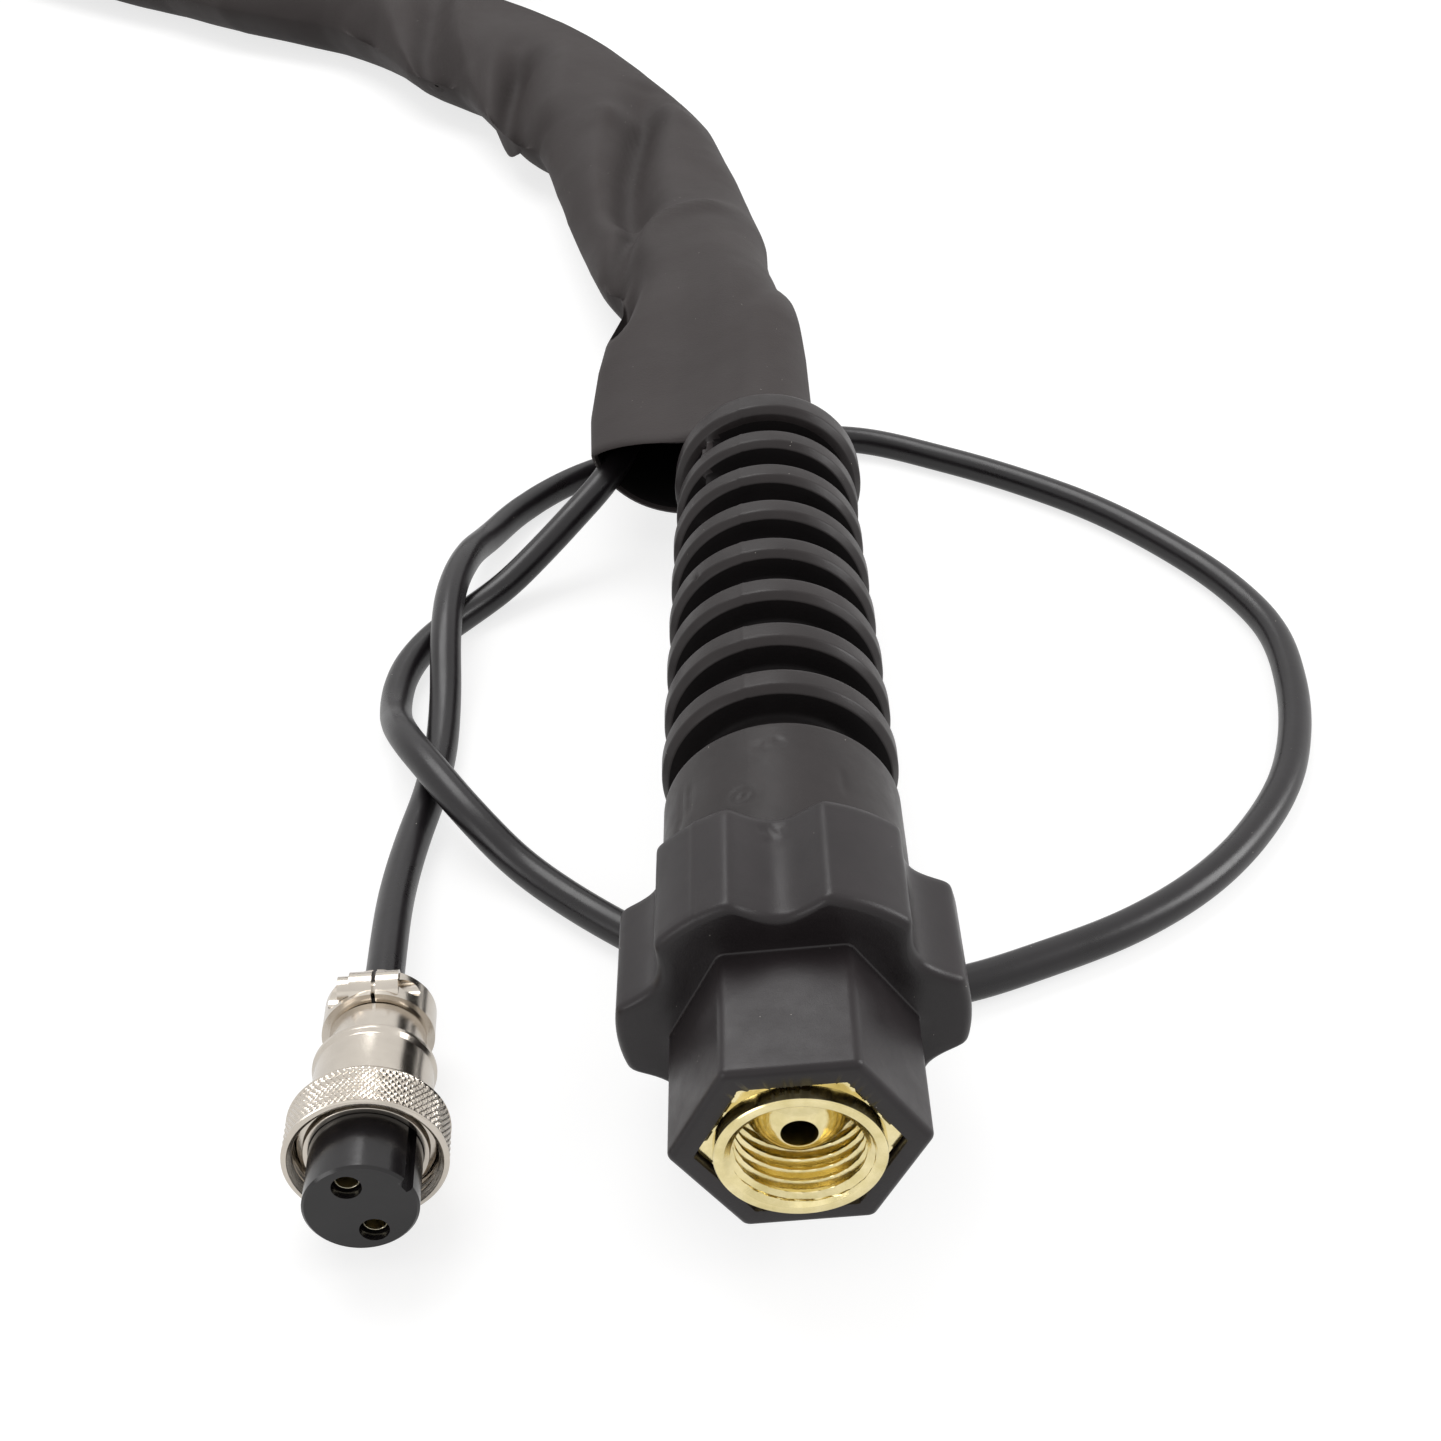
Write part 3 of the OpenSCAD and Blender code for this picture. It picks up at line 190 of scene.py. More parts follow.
NODE_FINISH = {
    "coupling_nut": BRASS, "nut_slip_ring": NYLON, "grip_cover": PLASTIC, "connector_stem": BRASS,
    "hose_ferrule": STEEL, "power_hose": RUBBER, "copper_conductor": COPPER, "bend_boot": BOOT,
    "cable_sleeve": LEATHERCLOTH, "cable_sleeve_coil": LEATHERCLOTH, "cable_sleeve_tail": LEATHERCLOTH,
    "control_cable": CABLE, "plug_shell": NICKEL, "plug_slip_ring": NYLON, "plug_coupling_ring": NICKEL,
    "plug_insert": INSERT, "plug_contacts": CONTACT, "plug_back_shell": NICKEL, "cable_clamp": NICKEL,
    "clamp_screws": NICKEL, "cable_grommet": RUBBER, "handle_cuff": HEAD, "torch_handle": PLASTIC,
    "switch_housing": PLASTIC, "trigger_button": BUTTON, "trigger_spring": STEEL, "micro_switch": INSERT,
    "head_core": BRASS, "head_cover": HEAD, "collet_body": COPPER, "collet": COPPER, "cup_gasket": GASKET,
    "gas_cup": ALUMINA, "tungsten_electrode": TUNGSTEN, "back_cap": INSERT, "cap_o_ring": RUBBER,
}
for name, material in NODE_FINISH.items():
    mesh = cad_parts[name].data
    mesh.materials.clear()
    mesh.materials.append(material)


# ---------------------------------------------------------------- mesh tools

def piece(name, verts, faces, material, body="root", stands_for=(), sharp=32, slot=None):
    """A mesh from points in millimetres, shaded smooth up to the sharp angle. It rides on a body, if one is given."""
    mesh = bpy.data.meshes.new(name)
    mesh.from_pydata((np.asarray(verts, float) * MM).tolist(), [], [list(map(int, f)) for f in faces])
    bm = bmesh.new()
    bm.from_mesh(mesh)
    bmesh.ops.remove_doubles(bm, verts=bm.verts, dist=1e-6)
    bmesh.ops.dissolve_degenerate(bm, dist=1e-7, edges=bm.edges)
    bmesh.ops.recalc_face_normals(bm, faces=bm.faces)
    for face in bm.faces:
        face.smooth = True
    bm.to_mesh(mesh)
    bm.free()
    mesh.set_sharp_from_angle(angle=math.radians(sharp))
    mesh.materials.append(material)
    made = bpy.data.objects.new(name, mesh)
    bpy.context.scene.collection.objects.link(made)
    if body:
        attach(made, body)
    if stands_for:
        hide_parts(*stands_for)
    return made


def skin(rings, closed=False, caps=False):
    """Points and faces over rings of equal count. closed joins the last ring to the first, and caps shut the ends."""
    rings = np.asarray(rings, float)
    n, m = rings.shape[:2]
    index = np.arange(n * m).reshape(n, m)
    lower = index if closed else index[:-1]
    upper = np.roll(index, -1, 0) if closed else index[1:]
    faces = np.stack([lower, np.roll(lower, -1, 1), np.roll(upper, -1, 1), upper], -1).reshape(-1, 4).tolist()
    if caps:
        faces += [index[0][::-1].tolist(), index[-1].tolist()]
    return rings.reshape(-1, 3), faces


def joined(*parts):
    """Several (points, faces) as one."""
    verts, faces, first = [], [], 0
    for v, f in parts:
        verts.append(np.asarray(v, float))
        faces += [[i + first for i in face] for face in f]
        first += len(v)
    return np.concatenate(verts), faces


NEARLY_STRAIGHT = math.radians(176)


def soft(outline, radius, steps=3, closed=True):
    """An outline with its corners rounded, to a point's third value or else to radius. One on the axis stays sharp."""
    pts = [np.array(p[:2], float) for p in outline]
    radii = [p[2] if len(p) > 2 else radius for p in outline]
    out = []
    for i, p in enumerate(pts):
        a, b = pts[i - 1], pts[(i + 1) % len(pts)]
        end = not closed and i in (0, len(pts) - 1)
        u, v = a - p, b - p
        lu, lv = np.linalg.norm(u), np.linalg.norm(v)
        if end or p[0] < 1e-6 or radii[i] <= 0 or min(lu, lv) < 1e-6:
            out.append(p)
            continue
        u, v = u / lu, v / lv
        turn = math.acos(max(-1, min(1, float(u @ v))))
        if turn > NEARLY_STRAIGHT:
            out.append(p)
            continue
        cut = min(radii[i] / math.tan(turn / 2), 0.48 * lu, 0.48 * lv)
        for k in range(steps + 1):
            t = k / steps
            out.append((1 - t) ** 2 * (p + u * cut) + 2 * t * (1 - t) * p + t * t * (p + v * cut))
    return out


def angles(n):
    """n equal steps round a circle."""
    return np.arange(n) * TAU / n


def turned_rings(profile, n):
    """Rings about the Y axis from [radius, y] points. A radius may be an array of n."""
    a = angles(n)
    return np.array([np.stack([r * np.cos(a), np.full(n, y), r * np.sin(a)], 1) for r, y in profile])


def rotation(*turns):
    """Product of rotations given as (axis, degrees), the last one applied first."""
    m = np.eye(3)
    for axis, deg in turns:
        c, s = math.cos(math.radians(deg)), math.sin(math.radians(deg))
        m = m @ np.array({"x": [[1, 0, 0], [0, c, -s], [0, s, c]], "y": [[c, 0, s], [0, 1, 0], [-s, 0, c]],
                          "z": [[c, -s, 0], [s, c, 0], [0, 0, 1]]}[axis])
    return m


def unit(v):
    return v / np.linalg.norm(v, axis=-1, keepdims=True)


def smooth_step(x, a, b):
    """0 before a, 1 after b, and smooth between them."""
    t = np.clip((x - a) / (b - a), 0, 1)
    return t * t * (3 - 2 * t)


def hills(points, size, seed, octaves=3):
    """Smooth noise of about -1..1 at 3-D points, from sums of sines in fixed random directions."""
    rng = np.random.default_rng(seed)
    total = np.zeros(len(points))
    for o in range(octaves):
        for _ in range(6):
            d = unit(rng.normal(size=3))
            total += np.sin(points @ d * TAU * 2 ** o / size * rng.uniform(0.7, 1.4) + rng.uniform(0, TAU)) / 2 ** o
    return total / 6


def resample(points, step):
    """A smooth line through points, at a steady spacing: Catmull-Rom, then cut at equal lengths."""
    p = np.asarray(points, float)
    p = np.vstack([2 * p[0] - p[1], p, 2 * p[-1] - p[-2]])
    out = []
    for i in range(1, len(p) - 2):
        t = np.linspace(0, 1, 24, endpoint=False)[:, None]
        a, b, c, d = p[i - 1], p[i], p[i + 1], p[i + 2]
        out.append(0.5 * (2 * b + (c - a) * t + (2 * a - 5 * b + 4 * c - d) * t ** 2
                          + (3 * b - a - 3 * c + d) * t ** 3))
    line = np.vstack([*out, p[-2]])
    along = measure(line)
    n = max(2, int(round(along[-1] / step)))
    at = np.linspace(0, along[-1], n + 1)
    return np.stack([np.interp(at, along, line[:, k]) for k in range(3)], 1)


def eased(line, width):
    """The line with its small kinks eased: a moving mean over width points to each side, ends kept."""
    kernel = np.hanning(2 * width + 3)[1:-1]
    kernel /= kernel.sum()
    padded = np.vstack([2 * line[0] - line[width:0:-1], line, 2 * line[-1] - line[-2:-width - 2:-1]])
    return np.stack([np.convolve(padded[:, k], kernel, "valid") for k in range(3)], 1)


def measure(line):
    """How far along the line each of its points is."""
    return np.r_[0, np.cumsum(np.linalg.norm(np.diff(line, axis=0), axis=1))]


def headings(line):
    return unit(np.gradient(line, axis=0))


def level_frame(heading):
    """Level directions to the side of each heading, and those square to both."""
    side = unit(np.stack([heading[:, 1], -heading[:, 0], np.zeros(len(heading))], 1))
    return side, np.cross(side, heading)


# ---------------------------------------------------------------- places

PLUG_TURN = rotation(("z", 4.5), ("x", -5))
PLUG_AT = np.array([-49.1, 8.6, FLOOR_Z + 9.55])
SLEEVE_W, SLEEVE_H, SLEEVE_WALL = 38.0, 24.0, 1.2
COIL_CENTRE = np.array([-135.0, 705.0, 0])
COIL_TURNS, COIL_R, COIL_STEP, LAYER_STEP = 3, 205.0, 41.0, 25.0
# The torch's handle lies on the coil's two layers
HANDLE_R, HANDLE_HALF, TORCH_OUT, TORCH_ROUND = 15.9, 62.0, 165, math.radians(145)
TORCH_TURN = rotation(("z", 55))
TORCH_MIDDLE = COIL_CENTRE + np.array([TORCH_OUT * math.cos(TORCH_ROUND), TORCH_OUT * math.sin(TORCH_ROUND),
                                       FLOOR_Z + LAYER_STEP + SLEEVE_H + HANDLE_R])
TORCH_AT = TORCH_MIDDLE - TORCH_TURN @ np.array([HANDLE_HALF, 0, 0])


def on_plug(p):
    """A point given in the plug's own frame, its axis along Y, in the part's frame."""
    return np.asarray(p, float) @ PLUG_TURN.T + PLUG_AT


def on_torch(p):
    """A point given in the torch's own frame, its handle along X, in the part's frame."""
    return np.asarray(p, float) @ TORCH_TURN.T + TORCH_AT


# ---------------------------------------------------------------- control cable

CABLE_D = 5.0
LOW = FLOOR_Z + CABLE_D / 2 + 0.01
HIGH = LOW + CABLE_D + 0.4         # where it crosses over itself
CABLE_STEP, CABLE_SIDES = 1.5, 24
GROMMET_END = 24.7
POCKET_Y = 198.0
CABLE_ROUTE = [
    (-52.4, 52, -15.6), (-52.5, 62, -17), (-52, 71, LOW + 0.2), (-51, 80, LOW), (-50.6, 91, LOW),
    (-51.2, 103, LOW + 1.2), (-52.2, 115, HIGH - 1), (-52.4, 127, HIGH), (-51, 139, HIGH - 1),
    (-48.5, 150, LOW + 1.4), (-43, 163, LOW), (-32, 175, LOW), (-18, 182, LOW), (0, 187, LOW), (19, 188, LOW),
    (36, 180, LOW), (50, 171, LOW), (62, 161, LOW), (72, 149, LOW), (80, 136, LOW), (84.5, 122, LOW),
    (84, 107, LOW), (81, 93, LOW), (76, 80.5, LOW), (68, 68.5, LOW), (59, 59, LOW), (48, 51, LOW), (36, 45, LOW),
    (22, 39.5, LOW), (7, 38, LOW), (-8, 42, LOW), (-22, 51, LOW), (-35, 62, LOW + 0.6), (-43.5, 70, HIGH - 1.4),
    (-50.5, 79.5, HIGH), (-55.5, 88.5, HIGH - 1.2), (-58.6, 99, LOW + 0.6), (-58.8, 110, LOW), (-55.5, 120, LOW),
    (-50, 128, LOW + 0.1), (-44.5, 134, LOW + 1.3), (-39, 140, -14), (-33, 146, -10), (-27.4, 153, -6.5),
    (-23.9, 163, -4.5), (-22.2, 176, -3.5), (-22, POCKET_Y, -3.5)]
cable_line = resample([on_plug([0, GROMMET_END, 0]), on_plug([0, GROMMET_END + 5, 0]), *CABLE_ROUTE], CABLE_STEP)
cable_line = eased(cable_line, 3)
cable_line[:, 2] = np.maximum(cable_line[:, 2], LOW)
cable_line = np.vstack([on_plug([0, GROMMET_END - 9.5, 0]), on_plug([0, GROMMET_END - 4, 0]), cable_line])
cable_side, cable_up = level_frame(headings(cable_line))
w = angles(CABLE_SIDES)
cable_rings = (cable_line[:, None] + CABLE_D / 2 * (cable_side[:, None] * np.cos(w)[:, None]
                                                   + cable_up[:, None] * np.sin(w)[:, None]))
control_cable = piece("control_cable_sheath", *skin(cable_rings, caps=True), CABLE, stands_for=["control_cable"],
                      slot="cable_pvc", sharp=60)


# ---------------------------------------------------------------- sleeve

LIE = FLOOR_Z + SLEEVE_H / 2
SLEEVE_ROUTE = [
    (-10.5, 154, -1), (-10.5, 176, -1), (-10.5, 198, -1), (-11.5, 218, -4), (-14, 238, LIE + 2), (-17, 262, LIE),
    (-22, 290, LIE), (-32, 328, LIE), (-48, 363, LIE), (-68, 392, LIE), (-95, 421, LIE), (-127, 447, LIE),
    (-165, 473, LIE), (-205, 500, LIE), (-244, 529, LIE)]
TAIL_ROUTE = [(-303, 585, 19), (-319, 612, 25), (-330, 642, 32), (-335, 674, 38)]
CUFF_L = 34.0
SIDES = 96
RING_STEP = 2.0
SEEN_END = 420.0        # millimetres of sleeve that the camera sees, with fine rings
POCKET_L = 44.0         # the sleeve's open end, with a lining
HOSE_OVER_R = 9.4       # the skin over the hose
FOLD_GAIN, FOLD_FLOOR = 1.35, 6.5
PUCKER_STEP = 34


def coil_point(deg):
    """The coil's middle line, which winds in on the lower layer and out again on the upper one."""
    half = 180.0 * COIL_TURNS
    r = COIL_R - COIL_STEP * (half - abs(deg - half)) / 360
    a = math.radians(225 - deg)
    rise = float(smooth_step(deg, half - 90, half + 90)) * LAYER_STEP
    return (COIL_CENTRE[0] + r * math.cos(a), COIL_CENTRE[1] + r * math.sin(a), LIE + rise)


coil = [coil_point(d) for d in range(0, 360 * COIL_TURNS + 1, 15)]
sleeve_path = [*SLEEVE_ROUTE, *coil, *TAIL_ROUTE, on_torch([-CUFF_L - 0.2, 0, 0])]
fine_line = resample(sleeve_path, RING_STEP)
count = int(SEEN_END / RING_STEP)
sleeve_line = np.vstack([fine_line[:count], fine_line[count::2]])
if not np.allclose(sleeve_line[-1], fine_line[-1]):
    sleeve_line = np.vstack([sleeve_line, fine_line[-1]])
sleeve_at = measure(sleeve_line)
sleeve_total = sleeve_at[-1]

# Half widths to the left and right of the middle, by place along the sleeve
LEFT_EDGE = [(0, 19.5), (13, 20.2), (30, 19.8), (41, 18.9), (48, 17.6), (60, 15.6), (72, 14.8), (74, 15), (78, 17.4),
             (84, 18.7), (96, 20), (114, 21.4), (126, 22.2), (144, 22.5), (160, 22), (174, 21.5), (179, 23.6),
             (183, 25.2), (192, 25.6), (204, 25), (216, 24), (228, 22.6), (234, 22.4), (240, 23.6), (252, 25.2),
             (258, 25), (264, 23.7), (276, 21), (288, 18.4), (306, 15.8), (314, 15.8), (324, 17.6), (336, 19.8),
             (352, 22.5), (365, 21), (382, 19), (400, 20), (420, 20), (470, 19)]
RIGHT_EDGE = [(0, 19.5), (24, 19.2), (36, 18.4), (48, 17.5), (60, 16.7), (72, 16.5), (84, 17.5), (96, 19), (108, 19.6),
              (120, 20.2), (150, 20.8), (162, 21), (174, 20.6), (186, 20.4), (198, 20.6), (210, 21.6), (222, 22.5),
              (234, 23), (252, 24.6), (264, 25.4), (276, 25.5), (330, 25.5), (380, 24), (430, 20), (470, 19)]


def by_place(table, at):
    """The table's values at those places along the sleeve."""
    return np.interp(at, [p[0] for p in table], [p[1] for p in table])


# Folds pressed into the upper skin: points in the part's XY plane, depth (less than 0 for a ridge), half width
FOLDS = [
    ([(-24.8, 336), (-25.8, 312), (-27.4, 287), (-26.7, 266), (-24.2, 250)], 6.0, 5.2),
    ([(-24.2, 258), (-26.1, 241), (-28, 230), (-28.7, 221)], 3.0, 3.2),
    ([(-4, 258), (-8.1, 254), (-13.7, 249.5), (-18.8, 246), (-22, 241), (-24.2, 233), (-25.4, 225)], -1.5, 2.8),
    ([(-24.0, 223), (-25.2, 214), (-26.5, 205), (-27.5, 197)], 3.6, 2.0),
    ([(-30.5, 220), (-30, 209), (-29.4, 201)], -1.4, 2.2),
    ([(-11, 307), (-20.9, 322), (-29.4, 318), (-37, 314)], -1.6, 5.0),
    ([(-59, 370), (-60, 350), (-60.5, 328), (-59, 310)], 6.5, 5.0),
    ([(-49, 372), (-46, 351), (-47.5, 332), (-50.5, 312), (-53, 300)], -1.2, 4.0),
    ([(-81, 424), (-77.5, 382), (-73, 355), (-68, 336), (-61.5, 317), (-57, 302)], -2.4, 2.6),
    ([(-89, 424), (-86, 384), (-80, 358)], 4.2, 5.0),
    ([(-112, 420), (-105, 392), (-100, 372), (-92, 350), (-82, 332)], 6.0, 4.0),
    ([(-103, 416), (-96.5, 390), (-87, 369), (-74, 341)], -2.2, 3.0),
    ([(-136, 424), (-128, 398), (-119, 382)], 6.0, 6.0),
]


def folds(points):
    """How far the folds push each point down, by its distance from each fold's line."""
    total = np.zeros(points.shape[:-1])
    xy = points[..., :2]
    for line, depth, width in FOLDS:
        line = np.array(line, float)
        best = np.full(total.shape, 1e9)
        place = np.zeros(total.shape)
        for k, (a, b) in enumerate(zip(line, line[1:])):
            t = np.clip(((xy - a) @ (b - a)) / ((b - a) @ (b - a)), 0, 1)
            gap = np.linalg.norm(xy - a - t[..., None] * (b - a), axis=-1)
            nearer = gap < best
            best = np.where(nearer, gap, best)
            place = np.where(nearer, (k + t) / (len(line) - 1), place)
        ends = smooth_step(place, -0.02, 0.22) * (1 - smooth_step(place, 0.8, 1.02))
        gain = FOLD_GAIN if depth > 0 else 1
        total += gain * depth * np.exp(-(best / width) ** 2) * (0.25 + 0.75 * ends)
    return total


w = angles(SIDES) + TAU / SIDES / 2
cos_w, sin_w = np.cos(w), np.sin(w)
side, up = level_frame(headings(sleeve_line))
left, right = by_place(LEFT_EDGE, sleeve_at)[:, None], by_place(RIGHT_EDGE, sleeve_at)[:, None]
near_mouth = (1 - smooth_step(sleeve_at, 30, 90))[:, None]
across = np.where(cos_w > 0, right, left) * np.sign(cos_w) * np.abs(cos_w) ** 0.9
pinch = 1 + 0.35 * smooth_step(-cos_w, 0.1, 1)
height = (SLEEVE_H / 2 - 0.9 * near_mouth) * np.sign(sin_w) * np.abs(sin_w) ** pinch
# The hose props the mouth up on the right, so its upper side falls away to the left
droop = (1 - smooth_step(sleeve_at, 30, 95))[:, None] * smooth_step(-cos_w, -0.35, 0.25) * (sin_w > 0)
height *= 1 - 0.4 * droop
rings = sleeve_line[:, None] + side[:, None] * across[..., None] + up[:, None] * height[..., None]
# Mouth: it hangs a little, the upper lip reaches ahead, and the skin lies over the hose
hang = (1 - smooth_step(sleeve_at, 10, 60))[:, None]
rings[..., 2] -= 1.5 * hang
fore = (1 - smooth_step(sleeve_at, 0, 26))[:, None]
rings[..., 1] -= fore * np.where(height > 0, 0.9 * height, -0.15 * height)
over_hose = np.sqrt(np.maximum(HOSE_OVER_R ** 2 - rings[..., 0] ** 2, 0))
over_hose -= 14 * smooth_step(sleeve_at, 34, 84)[:, None]
rings[..., 2] = np.where((sin_w > 0.05) & (over_hose > 3) & (sleeve_at < 90)[:, None],
                         np.maximum(rings[..., 2], over_hose), rings[..., 2])
# Broad hollows along the whole sleeve, then the photograph's folds in its upper side
waves = hills(rings.reshape(-1, 3), 95, 11).reshape(rings.shape[:2])
inward = -unit(side[:, None] * across[..., None] + up[:, None] * height[..., None])
fade = smooth_step(sleeve_at, 8, 60)[:, None] * (1 - smooth_step(sleeve_at, sleeve_total - 60, sleeve_total))[:, None]
rings += inward * (np.clip(waves, -1, 0.2) * -0.9 * fade)[..., None]
pressed = folds(rings) * smooth_step(sin_w, 0.0, 0.35) * (sleeve_at < SEEN_END)[:, None]
floor_of_fold = sleeve_line[:, None, 2] - FOLD_FLOOR
rings[..., 2] = np.where(pressed > 0, np.maximum(rings[..., 2] - pressed, np.minimum(rings[..., 2], floor_of_fold)),
                         rings[..., 2] - pressed)
# Puckers across the inner side of each turn, which the camera doesn't see
places = np.arange(SEEN_END + 60, sleeve_total - 120, PUCKER_STEP)
places += RNG.uniform(-12, 12, len(places))
pucker = np.zeros(rings.shape[:2])
for place in places:
    depth, width, lean = RNG.uniform(0.7, 2.4), RNG.uniform(6, 10), RNG.uniform(-16, 16)
    pucker += depth * np.exp(-((sleeve_at[:, None] - place - lean * sin_w) / width) ** 2)
rings += inward * (np.minimum(pucker, 3) * smooth_step(cos_w, -0.35, 0.8))[..., None]
# The tie draws the turns together, and passes under them
TIE_AT, TIE_W, TIE_T, TIE_GAP, TIE_EDGE = 75.0, 25.0, 1.5, 0.3, 0.35
tie_out = np.array([math.cos(math.radians(TIE_AT)), math.sin(math.radians(TIE_AT)), 0])
tie_along = np.array([-tie_out[1], tie_out[0], 0])
from_coil = rings - COIL_CENTRE
from_tie = from_coil @ tie_along
at_tie = (from_coil @ tie_out > 0) & (np.abs(from_tie) < 60)
drawn = 0.07 * np.exp(-(from_tie / 17) ** 2) * at_tie
rings += (sleeve_line[:, None] - rings) * drawn[..., None]
rings[..., 2] = np.maximum(rings[..., 2], FLOOR_Z + 0.05 + 0.9 * np.exp(-(from_tie / 20) ** 2) * at_tie)
# Lining: the same rings drawn in by the wall, from the pocket's end to the mouth
lining_count = int(POCKET_L / RING_STEP)
lining = rings[:lining_count + 1] + inward[:lining_count + 1] * SLEEVE_WALL
lip = (rings[0] + lining[0]) / 2 + np.array([0, -0.5, 0])
outer = np.concatenate([lining[::-1], lip[None], rings])
verts, faces = skin(outer, caps=True)
cable_sleeve = piece("sleeve_leathercloth", verts, faces, LEATHERCLOTH,
                     stands_for=["cable_sleeve", "cable_sleeve_coil", "cable_sleeve_tail"], slot="leathercloth",
                     sharp=70)
cable_sleeve.data.materials.append(LINING)
for polygon in cable_sleeve.data.polygons:
    if max(polygon.vertices) < (lining_count + 1) * SIDES:
        polygon.material_index = 1


def hull(points):
    """Convex outline of 2-D points, anticlockwise."""
    points = sorted(set(map(tuple, np.round(points, 4))))

    def half(sequence):
        line = []
        for q in sequence:
            while len(line) > 1 and ((line[-1][0] - line[-2][0]) * (q[1] - line[-2][1])
                                     <= (line[-1][1] - line[-2][1]) * (q[0] - line[-2][0])):
                line.pop()
            line.append(q)
        return line[:-1]
    return np.array(half(points) + half(points[::-1]))


def around(points, gap, n):
    """The hull of the points grown by gap, as n points at equal steps from its outermost place."""
    a = angles(24)
    grown = points[:, None] + gap * np.stack([np.cos(a), np.sin(a)], 1)
    line = hull(grown.reshape(-1, 2))
    line = np.roll(line, -int(np.argmax(line[:, 0])), 0)
    line = np.vstack([line, line[:1]])
    along = measure(line)
    at = np.linspace(0, along[-1], n, endpoint=False)
    return np.stack([np.interp(at, along, line[:, k]) for k in range(2)], 1)


near_tie = at_tie & (np.abs(from_tie) < TIE_W / 2 + 3)
bundle = hull(np.stack([((rings - COIL_CENTRE) @ tie_out)[near_tie], rings[..., 2][near_tie]], 1))
LOOP = 240
loop_in, loop_out, loop_lap = (around(bundle, TIE_GAP + layers * TIE_T, LOOP) for layers in (0, 1, 2))
loop_out[18:92] = loop_lap[18:92]          # the strap's end lies over its start
for loop, low in ((loop_in, 0.75), (loop_out, 0.02)):
    loop[:, 1] = np.maximum(loop[:, 1], FLOOR_Z + low)
half_w = TIE_W / 2
loop_edge = (loop_in + loop_out) / 2
steps = half_w * np.array([1, 0.5, 0, -0.5, -1])
tie_section = [*((loop_in, reach) for reach in steps), (loop_edge, -half_w - TIE_EDGE),
               *((loop_out, -reach) for reach in steps), (loop_edge, half_w + TIE_EDGE)]
tie_rings = [COIL_CENTRE + loop[:, :1] * tie_out + loop[:, 1:] * np.array([0, 0, 1]) + reach * tie_along
             for loop, reach in tie_section]
coil_tie = piece("coil_tie", *skin(tie_rings, closed=True), TIE, slot="black_plastic", sharp=50)


# ---------------------------------------------------------------- connector

THREAD_D, PITCH, RIM_D = 16.0, 1.5, 18.8
MINOR_D = THREAD_D - 1.0825 * PITCH
MOUTH_Y = -3.4
HEX_FRONT_Y = MOUTH_Y + 1.3
NUT_BACK_Y = MOUTH_Y + 19.9
LIP_Y = NUT_BACK_Y - 2.5
GRIP_TURN = 6.3
HEX_AF = 25.2
GRIP_D, GRIP_L = 41.0, 16.9
SCALLOP, SCALLOP_HALF, LOBE_EASE = 2.8 * 1.12, 15.4, 1.15       # depth, then degrees
GRIP_Y = 15.5
GRIP_END_Y = GRIP_Y + GRIP_L
NUT_AF, STEM_NECK_R = 19.5, 5.7
BOOT_Y = NUT_BACK_Y + 3.2
BOOT_R = 15.5
SMOOTH_END = GRIP_END_Y + 21.4


def hex_radius(across_flats, corner, turn, n, pull=0.0):
    """Distance from the axis to a rounded hexagon, at n angles. pull draws the outline inwards."""
    a = across_flats / 2 - pull
    corner = max(corner - pull * 0.5, 0.15)
    c = (a - corner) / math.cos(math.radians(30))
    phi = np.abs((np.degrees(angles(n)) - turn + 30) % 60 - 30)
    f = np.radians(phi)
    under = np.maximum(corner ** 2 - (c * np.sin(f)) ** 2, 0)
    arc = c * np.cos(f) + np.sqrt(under)
    on_arc = (np.degrees(np.arctan2(arc * np.sin(f), arc * np.cos(f) - c)) <= 30) & (under > 0)
    return np.where(on_arc, arc, a / np.cos(np.radians(30) - f))


def lobe_radius(n, pull=0.0):
    """Distance from the axis to the grip's outline: six lobes with shallow round scallops between them."""
    phi = np.abs((np.degrees(angles(n)) - GRIP_TURN) % 60 - 30)
    r = GRIP_D / 2 - SCALLOP * np.clip(1 - (phi / SCALLOP_HALF) ** 2, 0, None)
    kernel = np.exp(-0.5 * (np.arange(-12, 13) * 360 / n / LOBE_EASE) ** 2)
    kernel /= kernel.sum()
    r = np.convolve(np.r_[r[-12:], r, r[:12]], kernel, "valid")
    return r - pull


